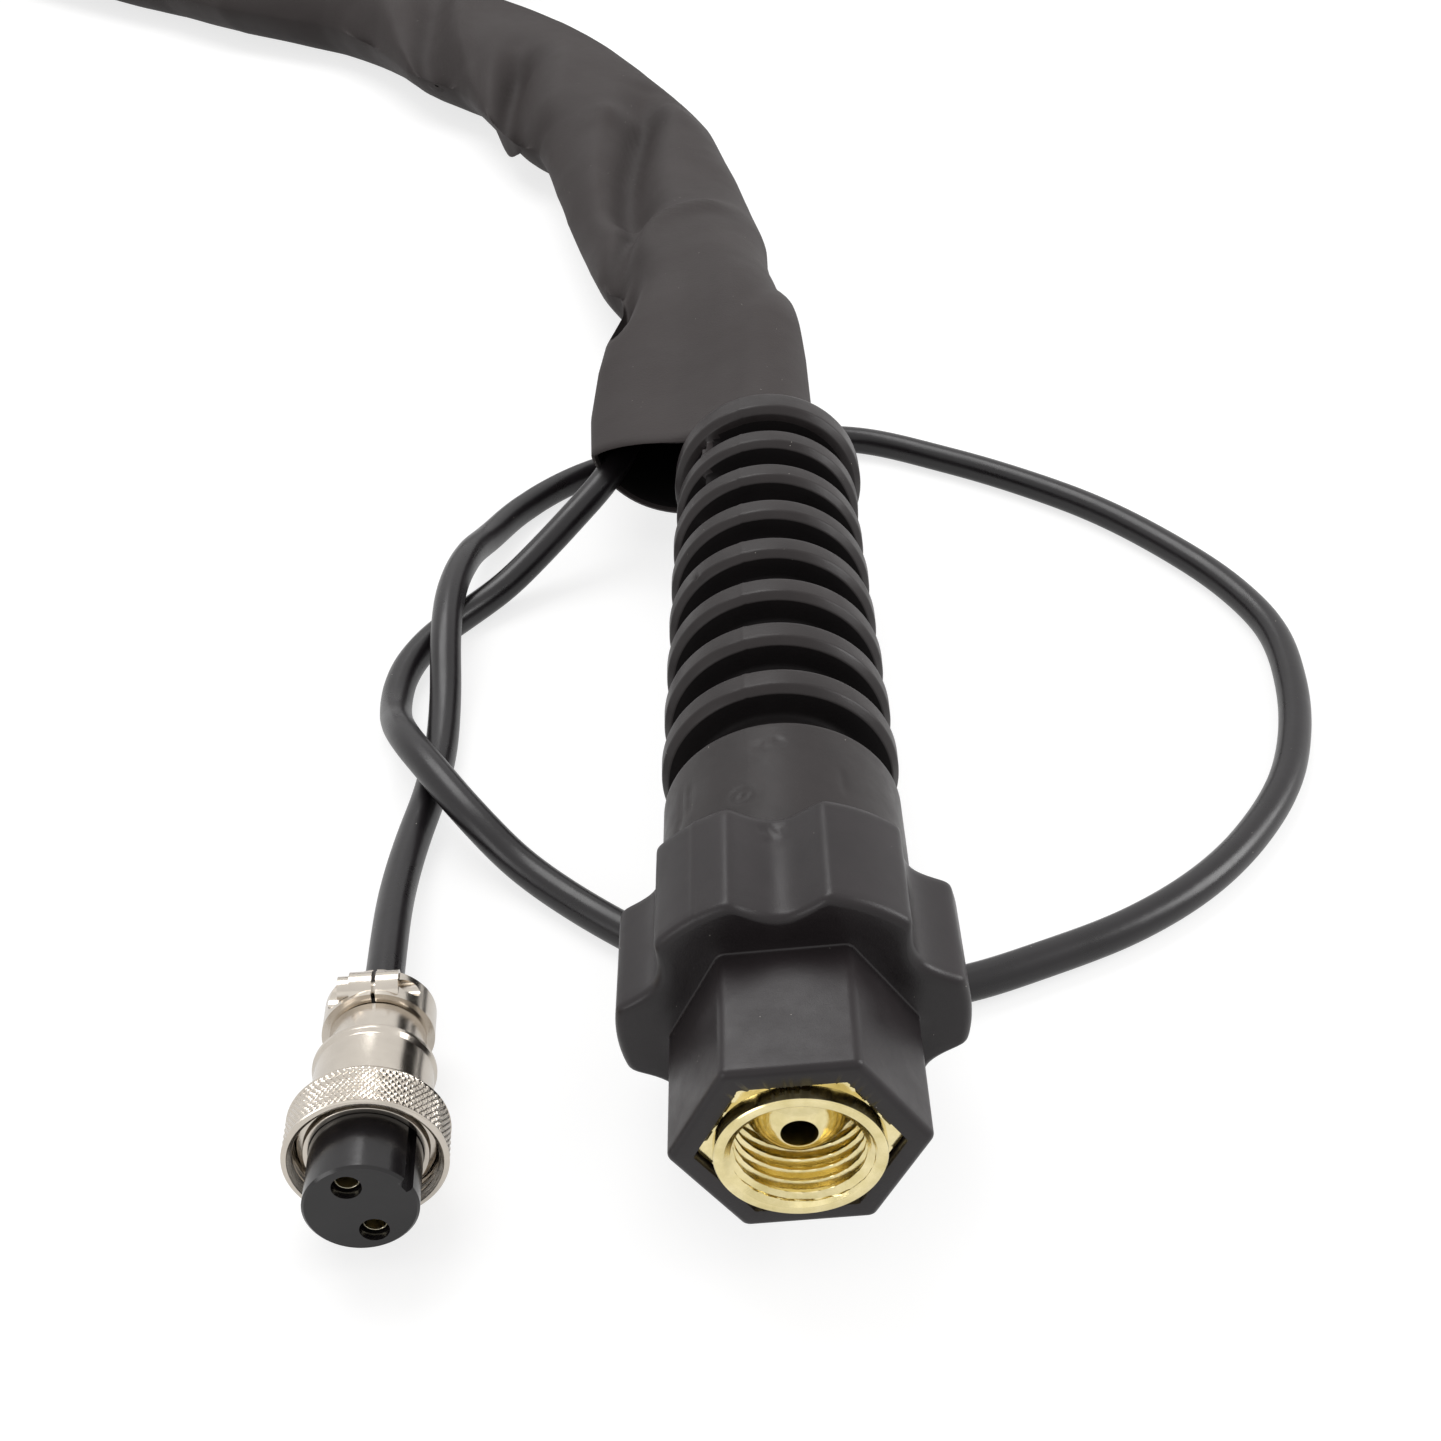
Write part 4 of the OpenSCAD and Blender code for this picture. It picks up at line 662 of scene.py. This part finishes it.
def thread_nut():
    """The nut's thread from its lip to the mouth, its round rim, its hexagon and its back."""
    n = 180
    a = angles(n)
    ys = np.arange(MOUTH_Y + 0.05, LIP_Y - 1.9, 0.0625)
    phase = ((ys[:, None] + PITCH * (a - math.pi)[None, :] / TAU) / PITCH) % 1.0
    groove = np.clip(1 - np.abs(phase - 0.5) * 2.7, 0, 1)
    run_out = smooth_step(ys, LIP_Y - 3.2, LIP_Y - 2.2)[:, None]
    radius = MINOR_D / 2 + np.maximum((THREAD_D - MINOR_D) / 2 * np.minimum(groove * 1.12, 1), run_out * 0.86)
    cone = THREAD_D / 2 + 0.35 - 1.1 * (ys - MOUTH_Y)
    radius = np.maximum(radius, cone[:, None])
    inner = [(radius[i], y) for i, y in enumerate(ys)]
    mouth = THREAD_D / 2 + 0.4
    front = [(mouth + (RIM_D / 2 - 0.35 - mouth) * t, MOUTH_Y + 0.02 * (1 - t)) for t in (0, 0.5, 1)]
    rim = [(RIM_D / 2 - 0.15, MOUTH_Y + 0.06), (RIM_D / 2 - 0.02, MOUTH_Y + 0.22), (RIM_D / 2, MOUTH_Y + 0.45),
           (RIM_D / 2, HEX_FRONT_Y + 0.62), (RIM_D / 2 + 0.02, HEX_FRONT_Y + 0.7)]
    hexes = [(hex_radius(NUT_AF, 0.3, GRIP_TURN, n, pull), y) for pull, y in
             ((0.33, HEX_FRONT_Y + 0.72), (0.1, HEX_FRONT_Y + 0.9), (0, HEX_FRONT_Y + 1.3), (0, NUT_BACK_Y - 0.6),
              (0.5, NUT_BACK_Y - 0.05), (1.0, NUT_BACK_Y))]
    hexes[0] = (np.minimum(hexes[0][0], 10.0), hexes[0][1])
    lip_r = STEM_NECK_R + 0.3
    back = [(lip_r, NUT_BACK_Y), (lip_r, LIP_Y + 0.05), (8.0, LIP_Y)]
    return turned_rings([*inner[::-1], *front, *rim, *hexes, *back], n)


piece("threaded_nut", *skin(thread_nut(), closed=True), BRASS, "nut", ["coupling_nut"], slot="brass", sharp=28)

GAS_R = 2.0
BALL_R = 6.5
ball_y = math.sqrt(BALL_R ** 2 - GAS_R ** 2)
start = math.asin(GAS_R / BALL_R)
nose = [(GAS_R, 36.0), (GAS_R, 1.0), (GAS_R, 0.35), (GAS_R + 0.08, 0.1)]
nose += [(BALL_R * math.sin(t), ball_y - BALL_R * math.cos(t)) for t in np.linspace(start + 0.05, math.pi / 2, 22)]
nose += [(BALL_R, 8.0), (6.9, 8.4), (6.9, 10.0), (STEM_NECK_R, 10.0), (STEM_NECK_R, 18.1), (4.3, 18.3), (4.3, 35.9),
         (3.2, 36.1)]
piece("stem_nose", *skin(turned_rings(nose, 96), closed=True), BRASS, "root", ["connector_stem"], slot="brass",
      sharp=30)


def grip_rings():
    """The grip from its hexagon hole, with a torn burr at the upper edge, over hexagon and lobes to its bell."""
    n = 360
    bore = hex_radius(NUT_AF + 0.3, 0.4, GRIP_TURN, n)
    deg = np.degrees(angles(n))
    upper = smooth_step(deg, 25, 45) * (1 - smooth_step(deg, 125, 150))
    burr = np.clip(RNG.normal(0.12, 0.16, n), 0, 0.4) * upper
    rings = [(bore, NUT_BACK_Y), (bore, HEX_FRONT_Y + 0.7), (bore - burr * 0.6, HEX_FRONT_Y + 0.45),
             (bore - burr, HEX_FRONT_Y + 0.25), (bore + 0.12 - burr[::-1] * 0.5, HEX_FRONT_Y + 0.04)]
    for t in np.linspace(0, math.pi / 2, 7):
        rings.append((hex_radius(HEX_AF, 1.2, GRIP_TURN, n, 0.9 * (1 - math.sin(t))),
                      HEX_FRONT_Y + 0.9 * (1 - math.cos(t))))
    hexagon = hex_radius(HEX_AF, 1.2, GRIP_TURN, n)
    fillet = 0.25
    rings += [(hexagon, y) for y in np.linspace(HEX_FRONT_Y + 1.5, GRIP_Y - fillet - 0.1, 9)]
    for t in np.linspace(0, math.pi / 2, 5)[1:]:
        rings.append((hexagon + fillet * (1 - math.cos(t)), GRIP_Y - fillet + fillet * math.sin(t)))
    edge = 1.15
    face_in, face_out = hexagon + fillet, lobe_radius(n, edge)
    rings += [(face_in + (face_out - face_in) * t, GRIP_Y - 0.1 * t) for t in (0.35, 0.7, 1)]
    for t in np.linspace(0, math.pi / 2, 7)[1:]:
        rings.append((lobe_radius(n, edge * (1 - math.sin(t))), GRIP_Y - 0.1 + edge * (1 - math.cos(t))))
    rings += [(lobe_radius(n), y) for y in np.linspace(GRIP_Y + 2, GRIP_END_Y - 1.1, 24)]
    for t in np.linspace(0, math.pi / 2, 5)[1:]:
        rings.append((lobe_radius(n, 0.8 * (1 - math.cos(t))), GRIP_END_Y - 0.8 + 0.8 * math.sin(t)))
    bell = BOOT_R + 0.3
    rings += [(bell + 0.3, GRIP_END_Y), (bell, GRIP_END_Y - 0.4), (bell, NUT_BACK_Y + 2.2), (9.2, NUT_BACK_Y + 2.2),
              (9.2, NUT_BACK_Y)]
    return turned_rings(rings, n)


def degrees_round(rings):
    return np.degrees(np.arctan2(rings[..., 2], rings[..., 0]))


def off_axis(rings):
    return np.hypot(rings[..., 0], rings[..., 2])


def arc_from(rings, angle, radius):
    """How far each point is round the axis from an angle in degrees, at a radius."""
    return np.radians((degrees_round(rings) - angle + 180) % 360 - 180) * radius


def marked(rings, marks):
    """Small dents and swirls pressed into a turned surface: (angle deg, y, radius mm, depth mm, twist)."""
    r = off_axis(rings)
    for angle, y, wide, depth, twist in marks:
        u = arc_from(rings, angle, r)
        v = rings[..., 1] - y
        reach = np.hypot(u, v) / wide
        swirl = np.cos(np.arctan2(v, u) * 2 + reach * twist)
        dip = depth * np.exp(-reach ** 2 * 1.6) * (0.5 + 0.2 * swirl + 0.3 * np.cos(reach * 11))
        factor = 1 - np.where(r > 10, dip / np.maximum(r, 1), 0)
        rings[..., 0] *= factor
        rings[..., 2] *= factor
    return rings


grip = marked(grip_rings(), [(97, 29.8, 1.4, 0.34, 5), (99, 27.8, 1.1, 0.3, 7), (94, 28.4, 0.8, 0.22, 3),
                             (93, 30.6, 0.7, 0.2, 0), (101, 30.0, 0.6, 0.2, 0)])
# Faint parting line along the upper left lobe
ridge = 0.09 * np.exp(-((degrees_round(grip) - 124) / 0.9) ** 2) * (off_axis(grip) > 17.5)
grip[..., [0, 2]] *= (1 + ridge / 19.9)[..., None]
piece("grip_moulding", *skin(grip, closed=True), PLASTIC, "nut", ["grip_cover"], slot="black_plastic", sharp=40)


# ---------------------------------------------------------------- bend boot

RIBS, RIB_PITCH, RIB_T, GROOVE, BEAD = 7, 11.15, 5.2, 4.3, 7.5
RIB_R, RIB_DROP = 16.15, 0.18
BOOT_END = SMOOTH_END + (RIBS + 0.45) * RIB_PITCH + BEAD
BOOT_BEND = 0.6
BEAD_Y = BOOT_END - BEAD
REAR_R = RIB_R - RIB_DROP * RIBS


def boot_profile():
    """Outer line of the boot as [radius, y, corner radius]."""
    line = [(BOOT_R - 0.9, BOOT_Y, 0.3), (BOOT_R, BOOT_Y + 0.9, 0.5), (BOOT_R, SMOOTH_END - 0.9, 0.8),
            (BOOT_R - 1.0, SMOOTH_END, 0.5)]
    for k in range(1, RIBS + 1):
        r, y = RIB_R - RIB_DROP * k, SMOOTH_END + k * RIB_PITCH
        line += [(r - GROOVE, y - RIB_PITCH + 0.8, 0.9), (r - GROOVE, y - RIB_T - 0.5, 0.9), (r - 0.9, y - RIB_T, 0.4),
                 (r - 0.05, y - RIB_T + 1.1, 0.9), (r, y - 1.2, 0.9), (r - 1.0, y, 0.5)]
    line += [(REAR_R - GROOVE, BEAD_Y - 0.4 * RIB_PITCH + 0.5, 0.9), (REAR_R - GROOVE, BEAD_Y - 0.5, 0.9),
             (REAR_R - 0.3, BEAD_Y, 0.5), (REAR_R + 0.7, BEAD_Y + 1.2, 1.0), (REAR_R + 0.6, BOOT_END - 2.0, 1.6),
             (REAR_R - 1.8, BOOT_END, 1.0)]
    outline = soft(line, 0.4, 4, closed=False)
    fine = []
    for a, b in zip(outline, outline[1:]):
        parts = max(1, int(np.linalg.norm(b - a) / (0.4 if a[1] < SMOOTH_END else 0.9)))
        fine += [a + (b - a) * k / parts for k in range(parts)]
    return [*fine, outline[-1]]


def boot_rings():
    """The boot's rings: its outer line with the last grooves' webs and the mould's seam, then its bore."""
    n = 288
    deg = np.degrees(angles(n))
    bore, ferrule_bore = 15.6 / 2, 8.65
    rings = []
    for r, y in boot_profile():
        radius = np.full(n, r)
        for k in range(3):
            # Web between the last ribs, upper left, where the mould's blades meet
            y0 = SMOOTH_END + (RIBS - k) * RIB_PITCH
            if y0 - 1.2 < y < y0 + RIB_PITCH - RIB_T + 1.2:
                off = deg - (137, 139, 147)[k]
                bump = np.where(off < 0, np.clip(1 + off / 26, 0, 1) ** 3, np.exp(-(off / 3.2) ** 4))
                notch = 0.9 * np.exp(-((off - 1.5) / 2.2) ** 2) * (y > y0 + 2.4)
                radius = np.maximum(radius, radius + (REAR_R - 0.3 - 0.8 * k - notch - radius) * bump)
        seam = sum(np.exp(-((deg - at) / 1.1) ** 2) for at in (108, 288))
        rings.append((radius + seam * (0.1 if y > SMOOTH_END else 0.015), y))
    inner = [(bore + 0.6, BOOT_END), (bore, BOOT_END - 0.3), (bore, 42.5), (ferrule_bore, 42.0),
             (ferrule_bore, BOOT_Y + 0.2), (BOOT_R - 3, BOOT_Y)]
    return turned_rings([*rings, *inner], n)


boot = marked(boot_rings(), [(112, 40.0, 2.4, 0.34, 7), (109.5, 39.4, 0.7, 0.3, 0), (103, 49.0, 0.9, 0.3, 4),
                             (100, 48.0, 0.6, 0.2, 0), (94, 49.4, 0.7, 0.25, 3), (91.5, 49.2, 0.5, 0.2, 0),
                             (137, 94.4, 0.8, 0.5, 4), (134, 91.6, 0.7, 0.4, 0)])
# Short lengthwise scrapes low on the left of the smooth body
for angle, y, long, depth in ((148, 44.6, 3.6, 0.22), (141, 44.9, 2.6, 0.2), (151, 41.5, 1.6, 0.16),
                              (64, 43, 2.2, 0.12)):
    u = arc_from(boot, angle, BOOT_R)
    cut = depth * np.exp(-(u / 0.55) ** 2 - ((boot[..., 1] - y) / long) ** 4) * (off_axis(boot) > 14)
    boot[..., [0, 2]] *= (1 - cut / BOOT_R)[..., None]
# Slight unevenness, outside only
ripple = hills(boot.reshape(-1, 3), 26, 5, 2).reshape(boot.shape[:2]) * 0.05 * (off_axis(boot) > 10)
boot = boot + unit(boot * np.array([1, 0, 1])) * ripple[..., None]


def boot_lean(y):
    """How far the boot's rear end bends to the right."""
    return BOOT_BEND * smooth_step(y, 118, BOOT_END)


boot[..., 0] += boot_lean(boot[..., 1])
boot_moulding = piece("boot_moulding", *skin(boot, closed=True), BOOT, "root", ["bend_boot"], slot="boot_rubber",
                      sharp=45)
# The groove floors between the ribs take the darker, matte copy of the rubber: painted shade in the grooves
boot_moulding.data.materials.append(BOOT_GROOVE_PAINTED_SHADE)
for polygon in boot_moulding.data.polygons:
    x, y, z = np.array(polygon.center) / MM
    crest = RIB_R - RIB_DROP * (y - SMOOTH_END) / RIB_PITCH
    if SMOOTH_END - 0.2 < y < BOOT_END - 4 and 10 < math.hypot(x - boot_lean(y), z) < crest - 1.5:
        polygon.material_index = 1


# ---------------------------------------------------------------- plug

RING_D, RING_HALF, RING_THREAD_D, RING_PITCH = 19.0, 3.3, 16.6, 1.0
KNURLS, KNURL_LEAD, KNURL_CUT = 80, 0.95, 0.19


def knurled_ring():
    """The plug's ring: its crossed knurl, and a thread inside from the back step to the mouth."""
    n = 880
    a = angles(n)
    back = RING_HALF
    ys = np.linspace(-RING_HALF + 0.24, RING_HALF - 1.1, 64)
    rows = []
    for y in ys:
        one = np.abs(((a * KNURLS / TAU + y / KNURL_LEAD) % 1) - 0.5) * 2
        two = np.abs(((a * KNURLS / TAU - y / KNURL_LEAD) % 1) - 0.5) * 2
        ends = float(smooth_step(y, ys[0], ys[0] + 0.3) * (1 - smooth_step(y, ys[-1] - 0.3, ys[-1])))
        cut = KNURL_CUT * np.clip(np.maximum(one, two) * 1.15 - 0.15, 0, 1) * ends
        rows.append((RING_D / 2 - cut, y))
    front = [(RING_D / 2 - dr, -RING_HALF + dy) for dr, dy in ((0.62, 0), (0.3, 0.02), (0.12, 0.12))]
    rear = [(RING_D / 2 - dr, back - dy) for dr, dy in ((0.15, 1.0), (0.5, 0.4), (0.9, 0.1), (1.3, 0))]
    rear += [(7.6, back), (7.55, back - 0.05), (7.55, back - 1.6), (8.2, back - 1.62)]
    inner = []
    for y in np.linspace(back - 1.7, -RING_HALF + 0.05, 50):
        phase = (y / RING_PITCH + (a - math.pi) / TAU) % 1.0
        groove = np.clip(1 - np.abs(phase - 0.5) * 2.6, 0, 1) * 0.42
        cone = RING_THREAD_D / 2 + 0.6 - (y + RING_HALF) * 1.1
        inner.append((np.maximum(RING_THREAD_D / 2 + groove * float(smooth_step(y, back - 1.7, back - 2.4)), cone), y))
    return turned_rings([*front, *rows, *rear, *inner], n)


verts, faces = skin(knurled_ring(), closed=True)
plug_ring = piece("knurled_ring", on_plug(verts), faces, NICKEL, "plug_ring", ["plug_coupling_ring"], slot="nickel",
                  sharp=26)

# Barrels as [radius, y, corner radius]
shell_profile = soft([(6.55, -2.1, 0.08), (7.2, -2.1, 0.15), (7.2, -1.05, 0.1), (7.95, -1.0, 0.15), (7.95, 0.2, 0.15),
                      (7.4, 0.25, 0.1), (7.4, 3.4, 0.1), (7.36, 4.2, 0.1), (7.2, 6.8, 0.6), (7.15, 10.6, 0.4),
                      (7.45, 11.2, 0.2), (7.45, 11.7, 0.15), (7.1, 12.1, 0.15), (6.3, 12.1, 0.1), (6.3, 7.7, 0.1),
                      (5.75, 7.6, 0.1), (5.75, 4.1, 0.05), (6.55, 4.0, 0.05)], 0.1)
verts, faces = skin(turned_rings(shell_profile, 128), closed=True)
plug_shell = piece("plug_barrel", on_plug(verts), faces, NICKEL, "root", ["plug_shell"], slot="nickel", sharp=30)

back_profile = soft([(6.6, 12.2, 0.05), (6.6, 12.5, 0.05), (6.05, 12.6, 0.1), (5.9, 17.2, 0.3), (5.6, 17.6, 0.2),
                     (3.4, 17.6, 0.1), (3.4, 16.2, 0.1),
                     (5.2, 16.1, 0.1), (5.2, 7.8, 0.1), (6.35, 7.8, 0.1), (6.35, 12.2, 0.05)], 0.1)
verts, faces = skin(turned_rings(back_profile, 128), closed=True)
plug_back = piece("plug_back_barrel", on_plug(verts), faces, NICKEL, "root", ["plug_back_shell"], slot="nickel",
                  sharp=30)

SOCKET_TURN, SOCKET_PITCH = rotation(("y", -19)), 7.2
CONTACT_R, CONTACT_WALL, CONTACT_FRONT, CONTACT_END = 1.42, 0.15, -RING_HALF - 5.8, 7.0
contact_bore = CONTACT_R - CONTACT_WALL
contact_profile = soft([(CONTACT_R, CONTACT_FRONT, 0.05), (CONTACT_R, 3.4, 0.1), (1.6, 3.6, 0.1),
                        (1.6, CONTACT_END, 0.1), (1.0, CONTACT_END, 0.1), (1.0, -1.0, 0.1), (contact_bore, -1.4, 0.1),
                        (contact_bore, CONTACT_FRONT, 0.05)], 0.05)
tube = turned_rings(contact_profile, 64)
contact_parts = []
for sign in (-1, 1):
    placed = tube + np.array([0, 0, sign * SOCKET_PITCH / 2])
    contact_parts.append(skin(on_plug(placed @ SOCKET_TURN.T), closed=True))
plug_contacts = piece("contact_tubes", *joined(*contact_parts), CONTACT, "root", ["plug_contacts"],
                      slot="contact_brass", sharp=30)


# ---------------------------------------------------------------- spring under the trigger

# The CAD's own winding between its seat and the button, copied into a mesh of its own. PRESS is the way the button
# goes in
PRESS = np.array((0.819152, -0.573576, 0.0))
spring_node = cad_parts["trigger_spring"]
bpy.context.view_layer.update()
turned = np.array(spring_node.matrix_world)
winding = np.array([v.co[:] for v in spring_node.data.vertices]) @ turned[:3, :3].T + turned[:3, 3]
spring = piece("trigger_coil", winding / MM, [f.vertices[:] for f in spring_node.data.polygons], STEEL, body=None,
               stands_for=["trigger_spring"], sharp=70, slot="steel")
depth = winding @ PRESS
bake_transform(spring)


# ---------------------------------------------------------------- cords

cord_pieces = [plug_shell, plug_back, plug_ring, plug_contacts]
cord_pieces += [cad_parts[n] for n in ("plug_insert", "cable_clamp", "clamp_screws",
                                            "plug_slip_ring", "cable_grommet")]


# ---------------------------------------------------------------- floor, world and light

def light_path_factor(tree, glossy):
    """1 for what the camera sees directly or through something, and glossy for reflections."""
    rays = node_of(tree, "ShaderNodeLightPath").outputs
    shiny = maths(tree, rays["Is Glossy Ray"], glossy)
    total = maths(tree, rays["Is Camera Ray"], shiny, "ADD")
    return maths(tree, total, rays["Is Transmission Ray"], "ADD")


FLOOR_REACH = 4.0        # metres
floor_mesh = bpy.data.meshes.new("floor")
floor_mesh.from_pydata([(x * FLOOR_REACH, y * FLOOR_REACH, (FLOOR_Z - 0.03) * MM) for x, y in
                        ((-1, -1), (1, -1), (1, 1), (-1, 1))], [], [(0, 1, 2, 3)])
floor = bpy.data.objects.new("floor", floor_mesh)
bpy.context.scene.collection.objects.link(floor)
paper = bpy.data.materials.new("paper")
paper.use_nodes = True
tree = paper.node_tree
tree.nodes.clear()
diffuse = node_of(tree, "ShaderNodeBsdfDiffuse", Color=(0.34, 0.34, 0.34, 1))
glow = node_of(tree, "ShaderNodeEmission", Color=(1, 1, 1, 1),
               Strength=maths(tree, light_path_factor(tree, 0.75), 0.76))
both = node_of(tree, "ShaderNodeAddShader", i0=diffuse.outputs[0], i1=glow.outputs[0])
node_of(tree, "ShaderNodeOutputMaterial", Surface=both.outputs[0])
floor_mesh.materials.append(paper)

world = bpy.data.worlds.new("studio")
bpy.context.scene.world = world
world.use_nodes = True
tree = world.node_tree
tree.nodes.clear()
direction = node_of(tree, "ShaderNodeTexCoord").outputs["Generated"]
facing = node_of(tree, "ShaderNodeVectorMath", operation="DOT_PRODUCT", i0=direction, i1=(0.0, 0.45, 0.89))
light_side = spread(tree, facing.outputs["Value"], 0.02, 0.8, -0.35, 0.95)
room = node_of(tree, "ShaderNodeBackground", Color=(1, 0.99, 0.975, 1), Strength=light_side)
white = node_of(tree, "ShaderNodeBackground", Color=(1, 1, 1, 1), Strength=1.0)
share = light_path_factor(tree, 0.8)
mixed = node_of(tree, "ShaderNodeMixShader", i0=share, i1=room.outputs[0], i2=white.outputs[0])
node_of(tree, "ShaderNodeOutputWorld", Surface=mixed.outputs[0])


def area_lamp(name, at, target, size, power):
    lamp = bpy.data.lights.new(name, "AREA")
    lamp.shape = "RECTANGLE"
    lamp.size, lamp.size_y = size
    lamp.energy = power
    holder = bpy.data.objects.new(name, lamp)
    holder.location = at
    holder.rotation_euler = (Vector(target) - Vector(at)).to_track_quat("-Z", "Y").to_euler()
    bpy.context.scene.collection.objects.link(holder)


area_lamp("key", (-0.35, 0.65, 1.05), (0, 0.1, 0), (0.8, 0.6), 5.8)
area_lamp("right", (1.05, 0.2, 0.6), (0, 0.1, 0), (0.6, 0.6), 6.2)
area_lamp("left", (-0.9, -0.6, 0.42), (0, 0, 0), (0.5, 0.5), 1.7)
area_lamp("front", (-0.2, -1.0, 0.6), (0, 0.05, 0), (0.8, 0.6), 0.35)

bpy.context.scene.view_settings.view_transform = "Standard"
